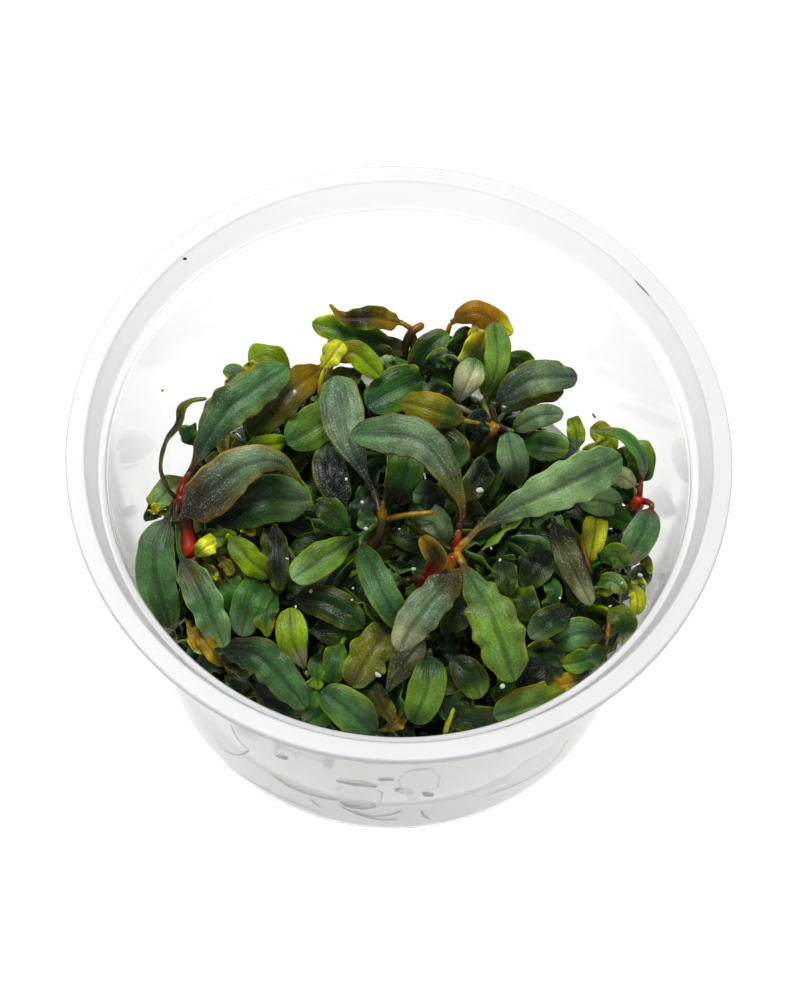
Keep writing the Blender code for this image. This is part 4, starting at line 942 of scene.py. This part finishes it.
def lathe(outline, segments, rounding=0.0):
    """Turns an outline that starts and ends on the axis about Z, and rounds its rings over 20 degrees."""
    bm = bmesh.new()
    points = [bm.verts.new((radius, 0.0, height)) for radius, height in guarded(outline)]
    edges = [bm.edges.new(pair) for pair in zip(points, points[1:])]
    bmesh.ops.spin(bm, geom=points + edges, cent=(0, 0, 0), axis=(0, 0, 1), angle=math.tau, steps=segments,
                   use_merge=True)
    bmesh.ops.remove_doubles(bm, verts=bm.verts, dist=0.001)
    bmesh.ops.recalc_face_normals(bm, faces=bm.faces)
    if rounding:
        rings = [edge for edge in bm.edges
                 if abs(edge.verts[0].co.z - edge.verts[1].co.z) < 1e-4
                 and abs(edge.verts[0].co.xy.length - edge.verts[1].co.xy.length) < 1e-3
                 and edge.calc_face_angle(0.0) > math.radians(20.0)]
        bmesh.ops.bevel(bm, geom=rings, offset=rounding, segments=3, profile=0.5, affect="EDGES", material=-1)
    return bm


def quarter_turn(chance, quarter):
    """A direction, in radians, somewhere in a quarter of the cup."""
    return math.radians(90.0 * (quarter + chance.uniform(-0.5, 0.5)))


def add_tuft(bm, layers, chance, crown, number):
    """Small leaves that spread from a growing point inside the mound."""
    for leaf in range(TUFT_LEAVES):
        heading = chance.uniform(0.0, math.tau)
        length = chance.uniform(*TUFT_LENGTHS)
        way = Vector((math.cos(heading), math.sin(heading), 0.0))
        start = crown + way * chance.uniform(0.5, 1.5)
        rise = chance.uniform(1.0, 3.5)
        middle = crown + way * length * 0.5 + Vector((0, 0, rise))
        tip = crown + way * length * 0.95 + Vector((0, 0, rise * chance.uniform(-0.3, 0.9)))
        # A leaf that would pass the mound's edge ends on it, a little lower
        reach = math.hypot(tip.x / MOUND_REACH_X, (tip.y - MOUND_SHIFT) / MOUND_REACH_Y)
        if reach > 1.0:
            tip = Vector((tip.x / reach, (tip.y - MOUND_SHIFT) / reach + MOUND_SHIFT, tip.z - 2.0))
            middle = (crown + tip) / 2 + Vector((0, 0, rise * 0.7))
        upward = Vector((chance.uniform(-1.1, 1.1), chance.uniform(-1.2, 0.8), 1.0))
        colours = small_palette(chance.choice(UNDERGROWTH_COLOURS))
        width = length * chance.uniform(*TUFT_WIDTHS)
        add_leaf(bm, layers, (start, middle, tip), colours, (9, 4), width, wave=0.6, phase=number + leaf,
                 upward=upward, curl=0.9)


def add_side_leaf(bm, layers, chance, quarter, number):
    """A leaf that hangs on the side of the mound, with its face to the wall."""
    turn = quarter_turn(chance, quarter)
    share = chance.uniform(0.0, 1.0)
    reach = 0.8 + 0.18 * share ** 0.7
    out = Vector((math.cos(turn), math.sin(turn), 0.0))
    x, y = out.x * reach * MOUND_REACH_X, out.y * reach * MOUND_REACH_Y + MOUND_SHIFT
    foot = GEL_TOP + GEL_MENISCUS
    middle = Vector((x, y, foot + 2.5 + share * (mound_height(x, y) - foot - 4.0)))
    lean = chance.uniform(-1.2, 1.2)
    way = Vector((-out.y * lean, out.x * lean, -1.0)).normalized()
    length = chance.uniform(*SIDE_LENGTHS)
    half = way * length / 2
    points = (middle - half - out * 1.5, middle, middle + half - out * 1.8)
    points = [Vector((p.x, p.y, max(p.z, foot + 0.4))) for p in points]
    # Painted light: the lower side leaves are pale, for the light that comes in through the wall
    words = SIDE_COLOURS if share < SIDE_PALE_BELOW else chance.choice(UNDERGROWTH_COLOURS)
    width = length * chance.uniform(*SIDE_WIDTHS)
    add_leaf(bm, layers, points, small_palette(words), (8, 2), width, widest=0.55, wave=0.2, phase=number,
             upward=out)


class PLANT_OT_cup(bpy.types.Operator):
    """Make the clear cup with its base, tapered wall, ledge and flat rim"""
    bl_idname = "plant.cup"
    bl_label = "Cup"

    def execute(self, context):
        finish = context.scene.plant_cup_finish
        rim_under = CUP_HEIGHT - RIM_THICKNESS
        rim_edge = CUP_HEIGHT - RIM_DROP
        ledge_under = LEDGE_HEIGHT - WALL
        outline = [
            # Underside and outside, from the axis to the rim
            (0.0, BASE_LIFT), (FOOT_RADIUS - 4.0, BASE_LIFT), (FOOT_RADIUS - 3.2, 0.0), (FOOT_RADIUS, 0.0),
            (FOOT_RADIUS + 1.5, 0.7), (wall_radius(2.4), 2.4),
            (wall_radius(ledge_under - 0.8), ledge_under - 0.8), (LEDGE_OUTER_RADIUS + WALL, ledge_under),
            (RIM_INNER_RADIUS + 0.8, rim_under), (RIM_RADIUS - RIM_THICKNESS, rim_under),
            (RIM_RADIUS - RIM_THICKNESS, rim_edge), (RIM_RADIUS, rim_edge),
            # Top of the rim, and the inside back to the axis
            (RIM_RADIUS, CUP_HEIGHT), (RIM_INNER_RADIUS, CUP_HEIGHT),
            (RIM_INNER_RADIUS - 0.5, CUP_HEIGHT - 1.0), (LEDGE_OUTER_RADIUS, LEDGE_HEIGHT),
            (LEDGE_INNER_RADIUS, LEDGE_HEIGHT),
            (wall_radius(3.0) - WALL, 3.0), (FOOT_RADIUS, WALL + 0.1), (0.0, WALL + 0.25),
        ]
        bm = lathe(outline, finish.segments, finish.edge_rounding / MM)
        plastic = shared_material("polypropylene, clear thermoformed", clear_plastic, finish)
        finish_piece("clear_cup", bm, plastic, ["cup"], crease=40.0)
        return {"FINISHED"}


class PLANT_OT_gel(bpy.types.Operator):
    """Make the gel in the bottom of the cup, with its surface raised at the wall"""
    bl_idname = "plant.gel"
    bl_label = "Gel"

    def execute(self, context):
        finish = context.scene.plant_cup_finish
        wall = wall_radius(GEL_TOP) - WALL - GEL_GAP
        outline = [(0.0, WALL + 0.3), (FOOT_RADIUS - 0.2, WALL + 0.3),
                   (wall_radius(3.2) - WALL - GEL_GAP, 3.2), (wall, GEL_TOP + GEL_MENISCUS),
                   (wall - 0.6, GEL_TOP + 0.5), (wall - 2.0, GEL_TOP)]
        outline += [(radius, GEL_TOP) for radius in (30.0, 22.0, 14.0, 7.0, 0.0)]
        bm = lathe(outline, 96)
        for vert in bm.verts:
            if vert.co.z > GEL_TOP - 0.1:
                wave = 0.5 * noise.noise(vert.co * 0.12) * (1.0 - ease(36.0, wall, vert.co.xy.length))
                vert.co.z += wave - 0.2
        gel = shared_material("agar gel, set", culture_gel, finish)
        finish_piece("culture_gel", bm, gel, ["gel"], crease=30.0)
        return {"FINISHED"}


class PLANT_OT_main_leaves(bpy.types.Operator):
    """Make the large leaves of each rosette"""
    bl_idname = "plant.main_leaves"
    bl_label = "Main leaves"

    def execute(self, context):
        thickness = context.scene.plant_leaf_form.thickness
        rows = [(*row, None) for row in LEAVES] + list(ARCHED_LEAVES)
        for number, (node, _, width, widest, fold, wave, pearl_and_glint, words, points, hub) in enumerate(rows):
            bm, layers = new_plant_mesh()
            add_leaf(bm, layers, points, palette(words), (26, 8), width, widest, fold, wave, pearl_and_glint,
                     number * 1.7, hub)
            finish_piece(node.replace("leaf_", "blade_"), bm, shared_leaf_skin(), [node],
                         thickness, 1)
        return {"FINISHED"}


class PLANT_OT_stalks(bpy.types.Operator):
    """Make the stalks that join the main leaves to their growing points, and the bare stalks"""
    bl_idname = "plant.stalks"
    bl_label = "Stalks"

    def execute(self, context):
        bm, layers = new_plant_mesh()
        for _, crown, width, _, _, _, _, words, points, *_ in (*LEAVES, *ARCHED_LEAVES):
            stalk, base = palette(words)[:2]
            start, after = Vector(points[0]), Vector(points[1])
            away = (start - after).normalized()
            root = Vector(CROWNS[crown]) if crown else rooted(start + away * 2.0)
            middle = (root + start) / 2 + away * 0.3
            # The stalk runs on into the blade, where it shows as the thick start of the midrib
            inside = start.lerp(after, 0.16)
            add_tube(bm, layers, (root, middle, start, inside), 0.4 + 0.05 * width,
                     [stalk, stalk, blend(stalk, base, 0.6)], taper=0.35)
        for radius, words, points in STALKS:
            add_tube(bm, layers, points, radius, palette(words), taper=0.15)
        # Lower ends that carry the rhizomes on into the mound
        for _, radius, words, points in RHIZOMES:
            foot, last = Vector(points[-1]), palette(words)[-1]
            low = rooted(foot + (foot - Vector(points[-2])).normalized() * 2.0)
            middle = (foot + low) / 2 + Vector((0, 0, 0.5))
            add_tube(bm, layers, (foot, middle, low), radius * 0.8, [last, last])
        finish_piece("leaf_stalks", bm, shared_stem_skin())
        return {"FINISHED"}


class PLANT_OT_rhizomes(bpy.types.Operator):
    """Make the creeping rhizomes that the leaves grow from"""
    bl_idname = "plant.rhizomes"
    bl_label = "Rhizomes"

    def execute(self, context):
        for node, radius, words, points in RHIZOMES:
            bm, layers = new_plant_mesh()
            add_tube(bm, layers, points, radius, palette(words), around=14, rings=18, taper=-0.1)
            finish_piece(node.replace("rhizome_", "stem_"), bm, shared_stem_skin(), [node],
                         smoothing=1)
        return {"FINISHED"}


class PLANT_OT_small_leaves(bpy.types.Operator):
    """Make the smaller leaves that show between the main ones"""
    bl_idname = "plant.small_leaves"
    bl_label = "Small leaves"

    def execute(self, context):
        form = context.scene.plant_leaf_form
        brown = palette("umber")[0]
        for part, rows in SMALL_LEAVES.items():
            bm, layers = new_plant_mesh()
            for number, (width, fold, words, points) in enumerate(rows):
                colours = small_palette(words)
                add_leaf(bm, layers, points, colours, (14, 6), width * SMALL_SWELL, 0.52, fold, 0.5, 0.12,
                         number * 2.1, curl=0.6)
                start = Vector(points[0])
                away = (start - Vector(points[1])).normalized()
                low = rooted(start + away * 2.0)
                add_tube(bm, layers, (low, (low + start) / 2 + away, start, start - away * 0.8), 0.42,
                         [blend(colours[0], brown, 0.5), colours[0]], 6, 6)
            finish_piece(f"small_leaves_{part}", bm, shared_leaf_skin(), ["undergrowth"],
                         form.small_thickness, 1)
        return {"FINISHED"}


class PLANT_OT_undergrowth(bpy.types.Operator):
    """Pack the mound between the gel and the main leaves with tufts of small leaves"""
    bl_idname = "plant.undergrowth"
    bl_label = "Undergrowth"

    def execute(self, context):
        form = context.scene.plant_leaf_form
        for quarter, part in enumerate(("right", "back", "left", "front")):
            chance = random.Random(71 + quarter)
            bm, layers = new_plant_mesh()
            for tuft in range(form.tufts):
                turn = quarter_turn(chance, quarter)
                far = chance.uniform(0.0, 1.0) ** 0.5 * 0.94
                x = math.cos(turn) * far * MOUND_REACH_X
                y = math.sin(turn) * far * MOUND_REACH_Y + MOUND_SHIFT
                depth = (tuft % TUFT_LAYERS) * TUFT_LAYER_GAP + chance.uniform(*TUFT_DEPTHS)
                crown = Vector((x, y, mound_height(x, y) - depth))
                add_tuft(bm, layers, chance, crown, tuft * TUFT_LEAVES)
            for leaf in range(form.side_leaves):
                add_side_leaf(bm, layers, chance, quarter, form.tufts * TUFT_LEAVES + leaf)
            finish_piece(f"undergrowth_{part}", bm, shared_leaf_skin(), ["undergrowth"],
                         form.small_thickness)
        return {"FINISHED"}


class PLANT_OT_roots(bpy.types.Operator):
    """Make the stems and roots that go down through the mound into the gel"""
    bl_idname = "plant.roots"
    bl_label = "Roots"

    def execute(self, context):
        chance = random.Random(12)
        bm, layers = new_plant_mesh()
        dark, pale = palette("umber pale_root")
        for _ in range(ROOTS):
            turn, far = chance.uniform(0.0, math.tau), chance.uniform(0.05, 0.8)
            x, y = math.cos(turn) * far * MOUND_REACH_Y, math.sin(turn) * far * MOUND_REACH_Y
            foot = Vector((x * 0.85 + chance.uniform(-3, 3), y * 0.85 + chance.uniform(-3, 3), GEL_TOP + 0.7))
            top = Vector((x, y, mound_height(x, y) - chance.uniform(2.0, 7.0)))
            middle = (foot + top) / 2 + Vector((chance.uniform(-3, 3), chance.uniform(-3, 3), 0.0))
            add_tube(bm, layers, (foot, middle, top), chance.uniform(*ROOT_RADII), [pale, dark, dark], 6, 6)
        finish_piece("lower_stems", bm, shared_stem_skin(), ["undergrowth"])
        return {"FINISHED"}


class PLANT_OT_wall_scraps(bpy.types.Operator):
    """Make the threads, scraps of leaf and smears of gel that stick to the inside of the wall"""
    bl_idname = "plant.wall_scraps"
    bl_label = "Scraps on the wall"

    def execute(self, context):
        bm, layers = new_plant_mesh()
        for radius, points in WALL_THREADS:
            add_tube(bm, layers, [inside_wall(angle, z, 0.0) for angle, z in points], radius,
                     palette("olive moss"), 6, 12)
        finish_piece("wall_threads", bm, shared_stem_skin())

        bm, layers = new_plant_mesh()
        for number, (width, words, points) in enumerate(WALL_SCRAPS):
            places = [inside_wall(angle, z, 0.05) for angle, z in points]
            inward = Vector((-places[1].x, -places[1].y, 0.0))
            add_leaf(bm, layers, places, small_palette(words), (12, 4), width, fold=0.0, pearl_and_glint=0.0,
                     phase=number, upward=inward)
        finish_piece("wall_scraps", bm, shared_leaf_skin(), thickness=0.2 * MM)

        bm = bmesh.new()
        for number, (angle, half_angle, height, half_height) in enumerate(WALL_SMEARS):
            for vert in bmesh.ops.create_grid(bm, x_segments=14, y_segments=14, size=1.0)["verts"]:
                # The square becomes a disc with a ragged edge
                x = vert.co.x * (1 - vert.co.y ** 2 / 2) ** 0.5
                y = vert.co.y * (1 - vert.co.x ** 2 / 2) ** 0.5
                way = Vector((x, y, 0.0)).normalized()
                ragged = 1.0 + 0.3 * noise.noise(way * 2.4 + Vector((0, 0, 7.3 * number)))
                vert.co = inside_wall(angle + half_angle * x * ragged, height + half_height * y * ragged,
                                      0.12)
        smear = shared_material("dried gel, translucent", dried_gel, context.scene.plant_cup_finish)
        finish_piece("wall_smears", bm, smear, ["gel"], 0.05 * MM)
        return {"FINISHED"}


class PLANT_OT_specks(bpy.types.Operator):
    """Make the pale specks on the leaves, which are painted glints, and the dark dirt on the cup"""
    bl_idname = "plant.specks"
    bl_label = "Specks"

    def execute(self, context):
        chance = random.Random(5)
        bm = bmesh.new()
        for length, place in GLINT_SPECKS:
            matrix = Matrix.Translation(place) @ Matrix.Rotation(chance.uniform(0.0, math.pi), 4, "Z")
            matrix = matrix @ Matrix.Diagonal((1.0, chance.uniform(0.5, 0.9), 0.6, 1.0))
            verts = bmesh.ops.create_icosphere(bm, subdivisions=2, radius=length / 2, matrix=matrix)["verts"]
            for vert in verts:
                vert.co += (vert.co - Vector(place)) * 0.35 * noise.noise(vert.co * 2.2)
        # Painted glints: pale matt lumps stand for bright points on the leaves
        pale = shared_material("plant debris, pale and dry", dirt_and_painted_glints, "#dfe3cf")
        finish_piece("pale_specks", bm, pale)

        bm = bmesh.new()
        for length, breadth, heading, place in DIRT:
            matrix = Matrix.Translation(place) @ Matrix.Rotation(math.radians(heading), 4, "Z")
            matrix = matrix @ Matrix.Diagonal((1.0, breadth / length, 0.05, 1.0))
            bmesh.ops.create_icosphere(bm, subdivisions=2, radius=length / 2, matrix=matrix)
        dark = shared_material("dirt, dark and dry", dirt_and_painted_glints, "#2e2a20")
        finish_piece("dirt", bm, dark)
        return {"FINISHED"}


class PLANT_OT_stage(bpy.types.Operator):
    """Set up the pale floor, the soft light and the camera"""
    bl_idname = "plant.stage"
    bl_label = "Stage"

    def execute(self, context):
        scene = context.scene
        look = scene.plant_stage_look
        bm = bmesh.new()
        bmesh.ops.create_grid(bm, x_segments=1, y_segments=1, size=FLOOR_REACH * MM)
        mesh = bpy.data.meshes.new("floor")
        bm.to_mesh(mesh)
        bm.free()
        floor = bpy.data.objects.new("floor", mesh)
        scene.collection.objects.link(floor)
        # A matt board that glows evenly, as a light table does
        material, tree, shader = new_material("painted board, matt white")
        place = add_node(tree, "TexCoord")
        grain = add_node(tree, "TexNoise", values={"Vector": place.outputs["Object"], "Scale": 300.0})
        tone = add_node(tree, "MapRange", values={0: grain, 3: 0.985, 4: 1.0})
        tinted = add_node(tree, "VectorMath", {"operation": "SCALE"}, {0: tuple(look.floor), "Scale": tone})
        set_inputs(tree, shader, {"Base Color": tinted, "Roughness": 0.8,
                                  "Emission Color": (1.0, 1.0, 1.0, 1.0), "Emission Strength": look.glow})
        mesh.materials.append(material)

        world = bpy.data.worlds.new("soft white surroundings")
        world.use_nodes = True
        background = world.node_tree.nodes["Background"]
        background.inputs["Color"].default_value = (1.0, 1.0, 1.0, 1.0)
        background.inputs["Strength"].default_value = look.sky
        scene.world = world

        lamp = bpy.data.lights.new("softbox overhead", "AREA")
        lamp.shape = "SQUARE"
        lamp.size = SOFTBOX_BREADTH * MM
        lamp.energy = look.softbox
        softbox = bpy.data.objects.new("softbox overhead", lamp)
        place, aim = Vector(SOFTBOX_PLACE) * MM, Vector(SOFTBOX_AIM) * MM
        softbox.location = place
        softbox.rotation_mode = "QUATERNION"
        softbox.rotation_quaternion = (aim - place).to_track_quat("-Z", "Y")
        scene.collection.objects.link(softbox)

        camera = bpy.data.objects.new("camera", bpy.data.cameras.new("camera"))
        tilt, roll = math.radians(90.0 - CAMERA_ELEVATION), math.radians(CAMERA_ROLL)
        turned = Matrix.Rotation(tilt, 4, "X") @ Matrix.Rotation(roll, 4, "Z")
        camera.matrix_world = (Matrix.Translation(Vector(CAMERA_TARGET) * MM) @ turned
                               @ Matrix.Translation((0, 0, CAMERA_DISTANCE * MM)))
        camera.data.lens = look.lens
        camera.data.sensor_width = 36.0
        camera.data.clip_start, camera.data.clip_end = 0.05, 10.0
        scene.collection.objects.link(camera)
        scene.camera = camera
        scene.view_settings.view_transform = "Standard"
        return {"FINISHED"}


PIECES = (PLANT_OT_cup, PLANT_OT_gel, PLANT_OT_main_leaves, PLANT_OT_stalks, PLANT_OT_rhizomes,
          PLANT_OT_small_leaves, PLANT_OT_undergrowth, PLANT_OT_roots, PLANT_OT_wall_scraps, PLANT_OT_specks,
          PLANT_OT_stage)
SETTINGS = {"plant_leaf_colours": LeafColours, "plant_leaf_form": LeafForm, "plant_cup_finish": CupFinish,
            "plant_stage_look": StageLook}


class PLANT_PT_panel(bpy.types.Panel):
    """Lists the pieces that can be made"""
    bl_idname = "PLANT_PT_panel"
    bl_label = "Plant in a cup"
    bl_space_type = "VIEW_3D"
    bl_region_type = "UI"
    bl_category = "Plant"

    def draw(self, context):
        for piece in PIECES:
            self.layout.operator(piece.bl_idname)


def register():
    """Registers the settings, the operators and the panel."""
    for group in (*SETTINGS.values(), *PIECES, PLANT_PT_panel):
        bpy.utils.register_class(group)
    for name, group in SETTINGS.items():
        setattr(bpy.types.Scene, name, PointerProperty(type=group))


def unregister():
    """Takes back what register does."""
    for name in SETTINGS:
        delattr(bpy.types.Scene, name)
    for group in reversed((*SETTINGS.values(), *PIECES, PLANT_PT_panel)):
        bpy.utils.unregister_class(group)


def main():
    """Makes every piece and the stage in order."""
    register()
    for piece in PIECES:
        group, name = piece.bl_idname.split(".")
        getattr(getattr(bpy.ops, group), name)()


if __name__ == "__main__":
    main()
